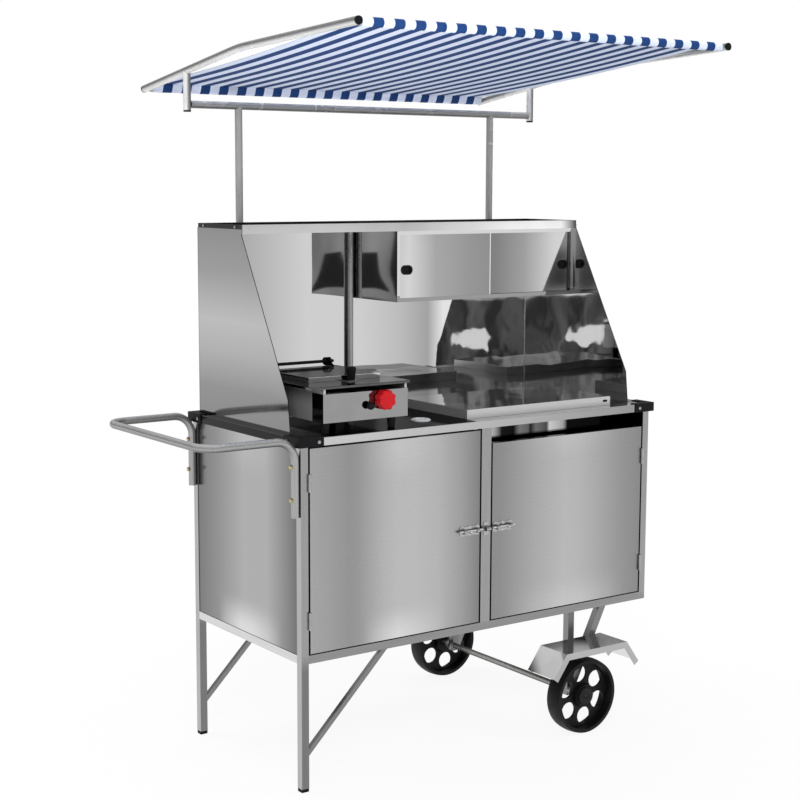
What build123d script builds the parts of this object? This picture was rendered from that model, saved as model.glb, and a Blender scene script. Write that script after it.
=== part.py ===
from build123d import *
import os
from math import atan2, cos, degrees, sin, tan

# Hot dog cart of stainless tube and sheet: a two-door cabinet on two legs and two wheels,
# a push handle, a counter with a gas press griddle and a bain-marie, a hood with a top tray
# and a box with sliding doors, and a striped awning on a plug-in stand.
# Millimetres, +Z up, the doors face -Y and the handle is at -X.
# The origin is on the floor, under the middle of the overall box.

os.makedirs("parts", exist_ok=True)

# Cabinet frame and panels
cab_length = 1100.0
cab_depth = 520.0
counter_height = 850.0
rail_bottom = 312.0
frame_tube = 20.0
frame_wall = 1.5
mullion_width = 30.0
mullion_from_left = 546.0
panel_sheet = 1.5
floor_lip = 15.0
plug_height = 8.0
plug_insert = 18.0
plug_clearance = 0.25
plug_corner = 1.5
brace_side = 12.0
brace_wall = 1.5
brace_foot_height = 92.0
brace_rail_reach = 240.0

# Countertop, its corner caps and the hose ring
counter_sheet = 2.0
counter_overhang = 8.0
counter_lip = 20.0
counter_edge_round = 1.8
cap_leg = 68.0
cap_wall = 2.5
cap_top_width = 20.0
cap_below_lip = 1.0
cap_edge_round = 1.2
cap_bolt_inset = 14.0
cap_bolt_shank = 4.0
cap_bolt_head = 9.0
cap_bolt_head_height = 3.0
cap_bolt_dome = 1.6
ring_off_centre = -13.0
ring_from_front = 80.0
ring_bore = 26.0
ring_neck = 33.0
ring_flange = 50.0
ring_flange_height = 5.0
ring_neck_depth = 10.0
ring_clearance = 0.3

# Cabinet doors, lift-off hinges and barrel bolts
door_gap = 5.0
door_foot_gap = 3.0
door_depth = 18.0
door_sheet = 1.5
left_door_head_gap = 6.0
right_door_head_gap = 42.0
hinge_inset = 80.0
hinge_barrel = 8.0
hinge_half = 21.0
hinge_pin = 4.0
hinge_bore_clearance = 0.06
hinge_half_gap = 0.3
hinge_forward = 3.5
hinge_leaf = 1.5
hinge_leaf_depth = 12.0
latch_height = 574.0
latch_plate_length = 63.0
latch_plate_width = 22.0
latch_plate_sheet = 1.5
latch_edge_gap = 1.0
latch_lobe = 15.0
latch_guide_length = 8.0
latch_guide_width = 12.0
latch_guide_end = 7.0
latch_guide_round = 5.5
bolt_diameter = 6.0
bolt_clearance = 0.1
bolt_forward = 6.5
bolt_throw = 14.0
bolt_tail = 5.0
bolt_chamfer = 0.8
bolt_rest_gap = 1.0
bolt_knob_diameter = 8.0
bolt_knob_reach = 15.0
keeper_length = 16.0
keeper_bore_clearance = 0.6
keeper_plate_height = 34.0
keeper_corner = 4.0
keeper_loop_length = 14.0

# Push handle
handle_tube = 19.0
handle_wall = 1.5
handle_reach = 255.0
handle_below_counter = 5.0
handle_bend = 50.0
handle_leg = 181.0
handle_bolt_drops = (11.0, 89.0)
handle_bolt = 6.0
handle_bolt_hole = 6.6
handle_bolt_head = 11.0
handle_bolt_head_height = 5.0

# Wheels, axle and what carries it
wheel_diameter = 200.0
wheel_width = 48.0
wheel_crown = 3.0
wheel_rim = 12.0
wheel_web = 6.0
wheel_hub = 58.0
wheel_hub_length = 30.0
wheel_hole = 45.0
wheel_hole_circle = 116.0
wheel_hole_count = 6
wheel_hole_start = 38.0
wheel_stand_off = 44.0
axle_diameter = 16.0
axle_from_left = 837.0
axle_clearance = 0.06
axle_collar = 26.0
axle_end_gap = 0.3
axle_spigot = 12.0
axle_cap_diameter = 48.0
axle_cap_height = 7.0
axle_tip = 4.0
axle_chamfer = 1.5
axle_cap_chamfer = 2.5
strut_below_axle = 13.0
strut_brace_reach = 100.0
strut_brace_rise = 200.0
guard_sheet = 2.5
guard_half_length = 104.0
guard_depth = 104.0
guard_top_height = 240.0
guard_foot_height = 181.0
guard_splay = 43.0
guard_band = 17.0

# Bain-marie
tank_length = 440.0
tank_width = 240.0
tank_depth = 150.0
tank_sheet = 1.5
tank_flange = 10.0
tank_clearance = 1.5
tank_from_right = 135.0
tank_from_front = 48.0
pan_count = 2
pan_gap = 1.0
pan_flange = 9.0
pan_depth = 100.0
pan_side_gap = 4.0
lid_overhang = 20.0
lid_height = 24.0
lid_sheet = 1.5
lid_edge_round = 1.35
lid_seat_gap = 0.3
lid_slot_length = 16.0
lid_slot_height = 6.0
lid_slot_inset = 18.0
burner_tube = 30.0
burner_length = 360.0
burner_venturi = 18.0
burner_venturi_length = 30.0
burner_mixer = 24.0
burner_mixer_length = 15.0
burner_drop = 55.0
burner_hanger = 3.0
burner_hanger_width = 24.0

# Press griddle
griddle_from_left = 77.0
griddle_from_front = 22.0
griddle_length = 238.0
griddle_depth = 288.0
griddle_height = 81.0
griddle_sheet = 1.5
griddle_front_lip = 6.0
griddle_foot_height = 26.0
griddle_foot_top = 22.0
griddle_foot_bottom = 17.0
griddle_foot_left_inset = 12.0
griddle_foot_right_inset = 37.0
griddle_foot_end_inset = 12.0
front_panel_height = 68.0
front_panel_sheet = 2.0
front_panel_return = 48.0
plate_overhang = 6.0
plate_left_overhang = 35.0
plate_thickness = 6.0
plate_corner = 6.0
plate_chamfer = 1.0
gas_knob_from_right = 73.0
gas_knob_up = 46.0
gas_knob_diameter = 49.0
gas_knob_length = 22.0
gas_knob_flutes = 8
gas_knob_flute_radius = 9.0
gas_knob_flute_depth = 3.0
gas_knob_chamfer = 2.0
gas_knob_gap = 3.0
valve_stem = 8.0
valve_body = 22.0
valve_length = 30.0
knob_bore_clearance = 0.08
panel_hole_clearance = 0.5
igniter_from_right = 113.0
igniter_up = 34.0
igniter_head = 19.0
igniter_head_length = 8.0
igniter_stem = 7.0
igniter_stem_depth = 15.0
igniter_travel = 5.0
igniter_barrel = 16.0
griddle_burner_tube = 25.0
griddle_burner_length = 200.0
griddle_feed_tube = 15.0
press_from_left = 6.0
press_from_right = 27.0
press_set_back = 82.0
press_height = 12.6
press_sheet = 1.5
press_edge_round = 1.35
press_seat_gap = 0.4
press_tab_width = 34.0
press_tab_depth = 26.0
press_knob_along = 112.0
press_knob_bottom = 18.0
press_knob_top = 25.0
press_knob_height = 32.0
press_knob_round = 5.0
hinge_bar = 8.0
hinge_bar_behind = 12.0
hinge_bar_up = 22.0
hinge_ear = 6.0
hinge_ear_radius = 10.0
hinge_lug_shoulder = 5.0
hinge_lug = 8.0
hinge_lug_reach = 24.0
hinge_ear_inset = 10.0
hinge_lug_gap = 2.0
hinge_bar_clearance = 0.08

# Hood, top tray and upper box
hood_inset = 13.0
hood_sheet = 2.0
hood_back_inset = 12.0
hood_foot_from_front = 68.0
hood_knee_from_front = 77.0
hood_knee_rise = 79.0
tray_front_from_front = 289.0
tray_rise = 460.0
tray_height = 22.0
tray_end_lap = 11.0
tray_bolt_inset = 30.0
tray_bolt_drop = 5.5
tray_bolt_shank = 4.0
tray_bolt_head = 7.5
tray_bolt_head_height = 3.0
box_left = 482.0
box_set_back = 10.0
box_height = 184.0
box_lip = 9.0
box_sheet = 1.5
track_groove = 5.0
track_rib = 1.5
track_rib_height = 10.0
slide_door_sheet = 4.0
slide_door_lap = 16.0
slide_door_end_gap = 0.5
slide_door_foot_gap = 0.3
slide_door_head_gap = 3.0
pull_inset = 29.5
pull_up = 83.0
pull_hole_length = 31.0
pull_hole_height = 19.0
pull_clearance = 0.2
pull_rim = 3.0
pull_rim_height = 1.2
pull_wall = 2.0
pull_floor = 1.0
mid_post_tube = 15.0
mid_post_wall = 1.5
mid_post_box_gap = 6.5
mid_post_back_gap = 1.5

# Awning
awning_tube = 19.0
awning_wall = 1.5
awning_side_over = 14.0
awning_front_over = 248.0
awning_back_over = 238.0
awning_front_height = 1773.0
awning_bend_from_front = 258.0
awning_bend_drop = 25.0
awning_back_drop = 100.0
awning_bend_radius = 700.0
awning_cap_length = 4.0
awning_end_tube_inset = 12.0
stand_post_from_left = 142.0
stand_cross_drop = 147.0
stand_stub_below = 5.0
weld_gap = 0.2
socket_height = 60.0
socket_above_tray = 14.0
socket_wall = 2.0
socket_floor = 3.0
socket_plate = 3.0
socket_plate_width = 44.0
socket_clearance = 0.1
socket_floor_gap = 0.3
cloth_thickness = 1.6
cloth_clearance = 0.3
cloth_side_gap = 4.0

# Places worked out from the sizes above
left = -(cab_length + awning_side_over - handle_reach) / 2
right = left + cab_length
front = -(cab_depth + awning_back_over - awning_front_over) / 2
back = front + cab_depth
mid_x = left + cab_length / 2
mid_y = front + cab_depth / 2
rail_top = rail_bottom + frame_tube
counter_under = counter_height - counter_sheet
counter_lip_bottom = counter_height - counter_lip
half_tube = frame_tube / 2
left_door_top = counter_lip_bottom - left_door_head_gap
right_door_top = counter_lip_bottom - right_door_head_gap
handle_height = counter_height - handle_below_counter
handle_end_height = handle_height - handle_leg
handle_bolt_heights = [handle_height - handle_bend - drop for drop in handle_bolt_drops]
lid_length = tank_length + 2 * lid_overhang
lid_width = tank_width + 2 * lid_overhang
griddle_left = left + griddle_from_left
griddle_right = griddle_left + griddle_length
tank_x = right - tank_from_right - tank_length / 2
tank_y = front + tank_from_front + tank_width / 2
tray_bottom = counter_height + tray_rise
box_bottom = tray_bottom - box_height
awning_bend_height = awning_front_height - awning_bend_drop
awning_back_height = awning_front_height - awning_back_drop
stand_cross_height = awning_front_height - stand_cross_drop


def at_x(x):
    """Plane square to X, drawn in (Y, Z)."""
    return Plane.YZ.offset(x)


def at_y(y):
    """Plane square to Y, drawn in (X, Z); a negative extrude goes towards the back."""
    return Plane.XZ.offset(-y)


def at_z(z):
    """Level plane, drawn in (X, Y)."""
    return Plane.XY.offset(z)


def across(low_u, low_v, high_u, high_v):
    """Rectangle in the current sketch between two opposite corners."""
    with Locations(((low_u + high_u) / 2, (low_v + high_v) / 2)):
        Rectangle(high_u - low_u, high_v - low_v)


def square_tube(start, end, side, wall):
    """Square tube from start to end in the current part, its sides in line with the cart."""
    run = Vector(*end) - Vector(*start)
    upright_side = (1, 0, 0) if abs(run.X) < abs(run.Y) else (0, 1, 0)
    with BuildSketch(Plane(origin=start, x_dir=upright_side, z_dir=run)) as section:
        Rectangle(side, side)
        Rectangle(side - 2 * wall, side - 2 * wall, mode=Mode.SUBTRACT)
    extrude(section.sketch, amount=run.length)


def round_tube(start, end, diameter, wall):
    """Round tube from start to end in the current part."""
    run = Vector(*end) - Vector(*start)
    with BuildSketch(Plane(origin=start, z_dir=run)) as section:
        Circle(diameter / 2)
        Circle(diameter / 2 - wall, mode=Mode.SUBTRACT)
    extrude(section.sketch, amount=run.length)


def round_bar(start, end, diameter, mode=Mode.ADD):
    """Round bar from start to end, added to the current part or cut from it."""
    run = Vector(*end) - Vector(*start)
    with BuildSketch(Plane(origin=start, z_dir=run)) as section:
        Circle(diameter / 2)
    extrude(section.sketch, amount=run.length, mode=mode)


def save(piece, name):
    """Label a finished piece and write it as one STEP file."""
    piece.label = name
    export_step(piece, f"parts/{name}.step")


# Corner posts: the two at the handle end run down to the floor as legs
with BuildPart() as posts:
    for x, foot in ((left + half_tube, plug_height), (right - half_tube, rail_bottom)):
        for y in (front + half_tube, back - half_tube):
            square_tube((x, y, foot), (x, y, counter_under), frame_tube, frame_wall)
    with BuildSketch(at_x(left)):
        for y in (front + half_tube, back - half_tube):
            with Locations([(y, z) for z in handle_bolt_heights]):
                Circle(handle_bolt_hole / 2)
    extrude(amount=frame_wall, mode=Mode.SUBTRACT)
save(posts.part, "posts")

# Plastic plugs in the feet of the legs
with BuildPart() as leg_plugs:
    plug_side = frame_tube - 2 * frame_wall - 2 * plug_clearance
    feet = [(left + half_tube, front + half_tube), (left + half_tube, back - half_tube)]
    with BuildSketch(at_z(0)):
        with Locations(feet):
            Rectangle(frame_tube, frame_tube)
    extrude(amount=plug_height)
    fillet(leg_plugs.edges().filter_by(Axis.Z), radius=plug_corner)
    with BuildSketch(at_z(plug_height)):
        with Locations(feet):
            Rectangle(plug_side, plug_side)
    extrude(amount=plug_insert)
save(leg_plugs.part, "leg_plugs")

# Bottom rails between the posts
with BuildPart() as long_rails:
    rail_z = rail_bottom + half_tube
    for y in (front + half_tube, back - half_tube):
        square_tube((left + frame_tube, y, rail_z), (right - frame_tube, y, rail_z), frame_tube, frame_wall)
save(long_rails.part, "long_rails")

with BuildPart() as cross_rails:
    for x in (left + half_tube, right - half_tube):
        square_tube((x, front + frame_tube, rail_z), (x, back - frame_tube, rail_z), frame_tube, frame_wall)
save(cross_rails.part, "cross_rails")

# Upright between the two doors
mullion_x = left + mullion_from_left
mullion_left = mullion_x - mullion_width / 2
mullion_right = mullion_x + mullion_width / 2
with BuildPart() as mullion:
    with BuildSketch(at_z(rail_top)):
        with Locations((mullion_x, front + half_tube)):
            Rectangle(mullion_width, frame_tube)
            Rectangle(mullion_width - 2 * frame_wall, frame_tube - 2 * frame_wall, mode=Mode.SUBTRACT)
    extrude(amount=counter_under - rail_top)
save(mullion.part, "mullion")

# Floor of the cabinet: a sheet with its edges turned down inside the rails
with BuildPart() as floor_panel:
    inner_length = cab_length - 2 * frame_tube
    inner_depth = cab_depth - 2 * frame_tube
    with BuildSketch(at_z(rail_top - floor_lip)):
        with Locations((mid_x, mid_y)):
            Rectangle(inner_length, inner_depth)
    extrude(amount=floor_lip)
    with BuildSketch(at_z(rail_top - floor_lip)):
        with Locations((mid_x, mid_y)):
            Rectangle(inner_length - 2 * panel_sheet, inner_depth - 2 * panel_sheet)
    extrude(amount=floor_lip - panel_sheet, mode=Mode.SUBTRACT)
save(floor_panel.part, "floor_panel")

# Side and back panels, each a sheet set between the posts on the rails
with BuildPart() as cabinet_panels:
    for x in (left + panel_sheet, right - 2 * panel_sheet):
        with BuildSketch(at_x(x)):
            across(front + frame_tube, rail_top, back - frame_tube, counter_under)
        extrude(amount=panel_sheet)
    with BuildSketch(at_y(back - 2 * panel_sheet)):
        across(left + frame_tube, rail_top, right - frame_tube, counter_under)
    extrude(amount=-panel_sheet)
save(cabinet_panels.part, "cabinet_panels")

# Countertop: one sheet with its four edges turned down, open for the tank and the hose ring
ring_x = (griddle_right + plate_overhang + tank_x - lid_length / 2) / 2 + ring_off_centre
ring_y = front + ring_from_front
counter_length = cab_length + 2 * counter_overhang
counter_depth = cab_depth + 2 * counter_overhang
with BuildPart() as countertop:
    with BuildSketch(at_z(counter_lip_bottom)):
        with Locations((mid_x, mid_y)):
            Rectangle(counter_length, counter_depth)
    extrude(amount=counter_lip)
    fillet(countertop.edges().group_by(Axis.Z)[-1], radius=counter_edge_round)
    with BuildSketch(at_z(counter_lip_bottom)):
        with Locations((mid_x, mid_y)):
            Rectangle(counter_length - 2 * counter_sheet, counter_depth - 2 * counter_sheet)
    extrude(amount=counter_lip - counter_sheet, mode=Mode.SUBTRACT)
    with BuildSketch(at_z(counter_under)):
        tank_hole = 2 * (tank_sheet + tank_clearance)
        with Locations((tank_x, tank_y)):
            Rectangle(tank_length + tank_hole, tank_width + tank_hole)
        with Locations((ring_x, ring_y)):
            Circle(ring_neck / 2 + ring_clearance)
    extrude(amount=counter_sheet, mode=Mode.SUBTRACT)
save(countertop.part, "countertop")

# Moulded caps over the counter's corners, drawn at one corner and mirrored to the others
cap_left = left - counter_overhang - cap_wall
cap_front = front - counter_overhang - cap_wall
cap_bottom = counter_lip_bottom - cap_below_lip
cap_top = counter_height + cap_wall
cap_bolt_z = counter_lip_bottom + counter_lip / 2
with BuildPart() as corner_caps:
    with BuildSketch(at_z(cap_bottom)):
        across(cap_left, cap_front, cap_left + cap_leg, cap_front + cap_top_width)
        across(cap_left, cap_front, cap_left + cap_top_width, cap_front + cap_leg)
    extrude(amount=cap_top - cap_bottom)
    outer_corner = corner_caps.edges().filter_by(Axis.Z).group_by(Axis.X)[0].sort_by(Axis.Y)[0]
    fillet(outer_corner, radius=cap_wall)
    with BuildSketch(at_z(cap_bottom)):
        across(cap_left + cap_wall, cap_front + cap_wall, cap_left + 2 * cap_leg, cap_front + 2 * cap_leg)
    extrude(amount=counter_height - cap_bottom, mode=Mode.SUBTRACT)
    fillet(corner_caps.edges().group_by(Axis.Z)[-1], radius=cap_edge_round)
    with BuildSketch(at_y(cap_front)):
        with Locations((cap_left + cap_leg - cap_bolt_inset, cap_bolt_z)):
            Circle(cap_bolt_shank / 2 + plug_clearance)
    extrude(amount=-cap_wall, mode=Mode.SUBTRACT)
    with BuildSketch(at_x(cap_left)):
        with Locations((cap_front + cap_leg - cap_bolt_inset, cap_bolt_z)):
            Circle(cap_bolt_shank / 2 + plug_clearance)
    extrude(amount=cap_wall, mode=Mode.SUBTRACT)
    mirror(about=at_x(mid_x))
    mirror(about=at_y(mid_y))
save(corner_caps.part, "corner_caps")

# Domed bolts, one through each outer face of the caps
with BuildPart() as cap_bolts:
    bolt_x = cap_left + cap_leg - cap_bolt_inset
    bolt_y = cap_front + cap_leg - cap_bolt_inset
    for plane in (
        Plane(origin=(bolt_x, cap_front, cap_bolt_z), z_dir=(0, -1, 0)),
        Plane(origin=(cap_left, bolt_y, cap_bolt_z), z_dir=(-1, 0, 0)),
    ):
        with BuildSketch(plane):
            Circle(cap_bolt_head / 2)
        extrude(amount=cap_bolt_head_height)
        with BuildSketch(plane):
            Circle(cap_bolt_shank / 2)
        extrude(amount=-cap_wall)
    for outward in (Axis.Y, Axis.X):
        head_rim = cap_bolts.edges().filter_by(GeomType.CIRCLE).sort_by(outward)[0]
        fillet(head_rim, radius=cap_bolt_dome)
    mirror(about=at_x(mid_x))
    mirror(about=at_y(mid_y))
save(cap_bolts.part, "cap_bolts")

# Ring that lines the hose hole in the counter
with BuildPart() as hose_ring:
    with BuildSketch(Plane(origin=(ring_x, ring_y, counter_height), x_dir=(1, 0, 0), z_dir=(0, -1, 0))):
        with BuildLine():
            Polyline(
                (ring_bore / 2, -ring_neck_depth),
                (ring_neck / 2, -ring_neck_depth),
                (ring_neck / 2, 0),
                (ring_flange / 2, 0),
                (ring_flange / 2, ring_flange_height / 2),
            )
            ThreePointArc(
                (ring_flange / 2, ring_flange_height / 2),
                ((ring_flange + ring_bore) / 4, ring_flange_height),
                (ring_bore / 2, ring_flange_height / 2),
            )
            Line((ring_bore / 2, ring_flange_height / 2), (ring_bore / 2, -ring_neck_depth))
        make_face()
    revolve(axis=Axis((ring_x, ring_y, 0), (0, 0, 1)))
save(hose_ring.part, "hose_ring")

# Doors: folded sheet pans, open at the back
left_door_span = (left + frame_tube + door_gap, mullion_left - door_gap)
right_door_span = (mullion_right + door_gap, right - frame_tube - door_gap)
door_bottom = rail_top + door_foot_gap


def door_pan(name, span, top):
    """Door sheet with its four edges folded back."""
    with BuildPart() as door:
        with BuildSketch(at_y(front)):
            across(span[0], door_bottom, span[1], top)
        extrude(amount=-door_depth)
        with BuildSketch(at_y(front + door_sheet)):
            across(span[0] + door_sheet, door_bottom + door_sheet, span[1] - door_sheet, top - door_sheet)
        extrude(amount=door_sheet - door_depth, mode=Mode.SUBTRACT)
    save(door.part, name)


door_pan("left_door", left_door_span, left_door_top)
door_pan("right_door", right_door_span, right_door_top)

# Lift-off hinges: the lower halves carry the pins and belong to the posts
left_hinge_x = left + frame_tube + door_gap / 2
right_hinge_x = right - frame_tube - door_gap / 2
hinge_y = front - hinge_forward
left_hinge_heights = (left_door_top - hinge_inset, door_bottom + hinge_inset)
right_hinge_heights = (right_door_top - hinge_inset, door_bottom + hinge_inset)
hinge_sides = (
    (left_hinge_x, left + frame_tube, left_hinge_heights),
    (right_hinge_x, right - frame_tube - hinge_leaf, right_hinge_heights),
)
pin_end = hinge_half - hinge_pin / 2
with BuildPart() as hinge_pintles:
    for x, leaf_x, heights in hinge_sides:
        for z in heights:
            round_bar((x, hinge_y, z - hinge_half), (x, hinge_y, z), hinge_barrel)
            round_bar((x, hinge_y, z), (x, hinge_y, z + pin_end), hinge_pin)
            with BuildSketch(at_z(z - hinge_half)):
                across(leaf_x, hinge_y, leaf_x + hinge_leaf, front + hinge_leaf_depth)
            extrude(amount=hinge_half)
save(hinge_pintles.part, "hinge_pintles")


def hinge_barrels(name, x, leaf_x, heights):
    """Upper hinge halves of one door, bored for the pins."""
    with BuildPart() as barrels:
        for z in heights:
            low = z + hinge_half_gap
            round_bar((x, hinge_y, low), (x, hinge_y, z + hinge_half), hinge_barrel)
            with BuildSketch(at_z(low)):
                across(leaf_x, hinge_y, leaf_x + hinge_leaf, front + hinge_leaf_depth)
            extrude(amount=hinge_half - hinge_half_gap)
            pin_bore = hinge_pin + 2 * hinge_bore_clearance
            round_bar((x, hinge_y, low), (x, hinge_y, z + pin_end + hinge_half_gap), pin_bore, Mode.SUBTRACT)
    save(barrels.part, name)


hinge_barrels("left_door_barrels", left_hinge_x, left_door_span[0] - hinge_leaf, left_hinge_heights)
hinge_barrels("right_door_barrels", right_hinge_x, right_door_span[1], right_hinge_heights)

# Barrel bolts: an ornamental plate with two guides on each door, drawn on the left door
plate_end = left_door_span[1] - latch_edge_gap
plate_start = plate_end - latch_plate_length
bolt_axis_y = front - latch_plate_sheet - bolt_forward
guide_centres = (plate_start + latch_guide_end + latch_guide_length / 2,
                 plate_end - latch_guide_end - latch_guide_length / 2)
with BuildPart() as left_latch_plate:
    with BuildSketch(at_y(front)):
        across(plate_start + latch_lobe / 2, latch_height - latch_plate_width / 2,
               plate_end - latch_lobe / 2, latch_height + latch_plate_width / 2)
        lobe_rows = (latch_height - latch_plate_width / 4, latch_height + latch_plate_width / 4)
        lobe_ends = (plate_start + latch_lobe / 2, plate_end - latch_lobe / 2)
        with Locations([(x, z) for x in lobe_ends for z in lobe_rows]):
            Circle(latch_lobe / 2)
        with Locations([((plate_start + plate_end) / 2, z) for z in lobe_rows]):
            Circle(latch_lobe / 2)
    extrude(amount=latch_plate_sheet)
    with BuildSketch(at_y(front - latch_plate_sheet)):
        with Locations([(x, latch_height) for x in guide_centres]):
            Rectangle(latch_guide_length, latch_guide_width)
    extrude(amount=bolt_forward + latch_guide_width / 2)
    outer_edges = left_latch_plate.edges().filter_by(Axis.X).group_by(Axis.Y)[0]
    fillet(outer_edges, radius=latch_guide_round)
    round_bar((plate_start, bolt_axis_y, latch_height), (plate_end, bolt_axis_y, latch_height),
              bolt_diameter + 2 * bolt_clearance, Mode.SUBTRACT)
save(left_latch_plate.part, "left_latch_plate")

# The bolt rests drawn, its tip just short of the upright, with a turned knob between the guides
bolt_tip = mullion_left - bolt_rest_gap
bolt_knob_x = guide_centres[0] + latch_guide_length / 2 + bolt_knob_diameter
with BuildPart() as left_latch_bolt:
    bolt_end = plate_start - bolt_tail
    round_bar((bolt_end, bolt_axis_y, latch_height), (bolt_tip, bolt_axis_y, latch_height), bolt_diameter)
    chamfer(left_latch_bolt.edges().filter_by(GeomType.CIRCLE), length=bolt_chamfer)
    ball_y = bolt_axis_y - bolt_knob_reach + bolt_knob_diameter / 2
    round_bar((bolt_knob_x, bolt_axis_y, latch_height), (bolt_knob_x, ball_y, latch_height),
              bolt_knob_diameter / 2)
    with Locations((bolt_knob_x, ball_y, latch_height)):
        Sphere(bolt_knob_diameter / 2)
save(left_latch_bolt.part, "left_latch_bolt")

with BuildPart() as right_latch_plate:
    mirror(left_latch_plate.part, about=at_x(mullion_x))
save(right_latch_plate.part, "right_latch_plate")

with BuildPart() as right_latch_bolt:
    mirror(left_latch_bolt.part, about=at_x(mullion_x))
save(right_latch_bolt.part, "right_latch_bolt")

# Keeper on the upright, which takes both bolts
with BuildPart() as latch_keeper:
    with BuildSketch(at_y(front)):
        with Locations((mullion_x, latch_height)):
            RectangleRounded(keeper_length, keeper_plate_height, radius=keeper_corner)
    extrude(amount=latch_plate_sheet)
    with BuildSketch(at_y(front - latch_plate_sheet)):
        with Locations((mullion_x, latch_height)):
            Rectangle(keeper_loop_length, latch_guide_width)
    extrude(amount=bolt_forward + latch_guide_width / 2)
    fillet(latch_keeper.edges().filter_by(Axis.X).group_by(Axis.Y)[0], radius=latch_guide_round)
    round_bar((mullion_left, bolt_axis_y, latch_height), (mullion_right, bolt_axis_y, latch_height),
              bolt_diameter + 2 * keeper_bore_clearance, Mode.SUBTRACT)
save(latch_keeper.part, "latch_keeper")

# Push handle: one bent tube, bolted down the outside of the two legs
handle_x = left - handle_tube / 2
handle_bar_x = left - handle_reach + handle_tube / 2
handle_front_y = front + half_tube
handle_back_y = back - half_tube
with BuildPart() as handle:
    with BuildLine() as handle_path:
        FilletPolyline(
            (handle_x, handle_front_y, handle_end_height),
            (handle_x, handle_front_y, handle_height),
            (handle_bar_x, handle_front_y, handle_height),
            (handle_bar_x, handle_back_y, handle_height),
            (handle_x, handle_back_y, handle_height),
            (handle_x, handle_back_y, handle_end_height),
            radius=handle_bend,
        )
    with BuildSketch(Plane(origin=handle_path.line @ 0, z_dir=handle_path.line % 0)):
        Circle(handle_tube / 2)
        Circle(handle_tube / 2 - handle_wall, mode=Mode.SUBTRACT)
    sweep(path=handle_path.line)
    for y in (handle_front_y, handle_back_y):
        for z in handle_bolt_heights:
            round_bar((handle_x - handle_tube, y, z), (left, y, z), handle_bolt_hole, Mode.SUBTRACT)
save(handle.part, "handle")

# Bolts through the handle into the legs
with BuildPart() as handle_bolts:
    head_x = handle_x - handle_tube / 2
    for y in (handle_front_y, handle_back_y):
        for z in handle_bolt_heights:
            round_bar((head_x - handle_bolt_head_height, y, z), (head_x, y, z), handle_bolt_head)
            round_bar((head_x, y, z), (left + frame_wall + handle_bolt, y, z), handle_bolt)
    bolt_heads = handle_bolts.edges().filter_by(GeomType.CIRCLE).group_by(Axis.X)[0]
    fillet(bolt_heads, radius=handle_bolt_head_height / 2)
save(handle_bolts.part, "handle_bolts")

# Axle: a round bar with a collar inside each wheel and a shouldered end for each cap
axle_x = left + axle_from_left
axle_z = wheel_diameter / 2
hub_outer = wheel_stand_off + wheel_hub_length / 2
hub_inner = wheel_stand_off - wheel_hub_length / 2
shoulder_out = hub_outer + axle_end_gap
cap_outer = shoulder_out + axle_cap_height
axle_front = front - cap_outer - axle_tip
axle_back = back + cap_outer + axle_tip
with BuildPart() as axle:
    round_bar((axle_x, axle_front, axle_z), (axle_x, axle_back, axle_z), axle_spigot)
    chamfer(axle.edges().filter_by(GeomType.CIRCLE), length=axle_chamfer)
    round_bar((axle_x, front - shoulder_out, axle_z), (axle_x, back + shoulder_out, axle_z), axle_diameter)
    round_bar((axle_x, front - hub_inner + axle_end_gap, axle_z), (axle_x, front, axle_z), axle_collar)
    round_bar((axle_x, back, axle_z), (axle_x, back + hub_inner - axle_end_gap, axle_z), axle_collar)
save(axle.part, "axle")

# Caps that keep the wheels on the axle
with BuildPart() as axle_caps:
    round_bar((axle_x, front - shoulder_out, axle_z), (axle_x, front - cap_outer, axle_z), axle_cap_diameter)
    round_bar((axle_x, back + shoulder_out, axle_z), (axle_x, back + cap_outer, axle_z), axle_cap_diameter)
    cap_rims = axle_caps.edges().filter_by(GeomType.CIRCLE).group_by(Axis.Y)
    chamfer(cap_rims[0] + cap_rims[-1], length=axle_cap_chamfer)
    cap_bore = axle_spigot + 2 * axle_clearance
    round_bar((axle_x, axle_front, axle_z), (axle_x, axle_back, axle_z), cap_bore, Mode.SUBTRACT)
save(axle_caps.part, "axle_caps")


def wheel(name, y):
    """Moulded wheel turned about the axle: hub, web with round holes, and crowned tread."""
    half_width = wheel_width / 2
    half_hub = wheel_hub_length / 2
    half_web = wheel_web / 2
    rim_inside = wheel_diameter / 2 - wheel_rim
    shoulder = wheel_diameter / 2 - wheel_crown
    bore = axle_diameter / 2 + axle_clearance
    with BuildPart() as rolled:
        with BuildSketch(Plane(origin=(axle_x, y, axle_z), x_dir=(0, 1, 0), z_dir=(1, 0, 0))):
            with BuildLine():
                Polyline(
                    (half_width, shoulder),
                    (half_width, rim_inside),
                    (half_web, rim_inside - wheel_web / 2),
                    (half_web, wheel_hub / 2 + half_web),
                    (half_hub, wheel_hub / 2),
                    (half_hub, bore),
                    (-half_hub, bore),
                    (-half_hub, wheel_hub / 2),
                    (-half_web, wheel_hub / 2 + half_web),
                    (-half_web, rim_inside - wheel_web / 2),
                    (-half_width, rim_inside),
                    (-half_width, shoulder),
                )
                ThreePointArc((-half_width, shoulder), (0, wheel_diameter / 2), (half_width, shoulder))
            make_face()
        revolve(axis=Axis((axle_x, y, axle_z), (0, 1, 0)))
        with BuildSketch(Plane(origin=(axle_x, y, axle_z), x_dir=(1, 0, 0), z_dir=(0, -1, 0))):
            with PolarLocations(wheel_hole_circle / 2, wheel_hole_count, start_angle=wheel_hole_start):
                Circle(wheel_hole / 2)
        extrude(amount=half_width, both=True, mode=Mode.SUBTRACT)
    save(rolled.part, name)


wheel("front_wheel", front - wheel_stand_off)
wheel("back_wheel", back + wheel_stand_off)

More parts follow.
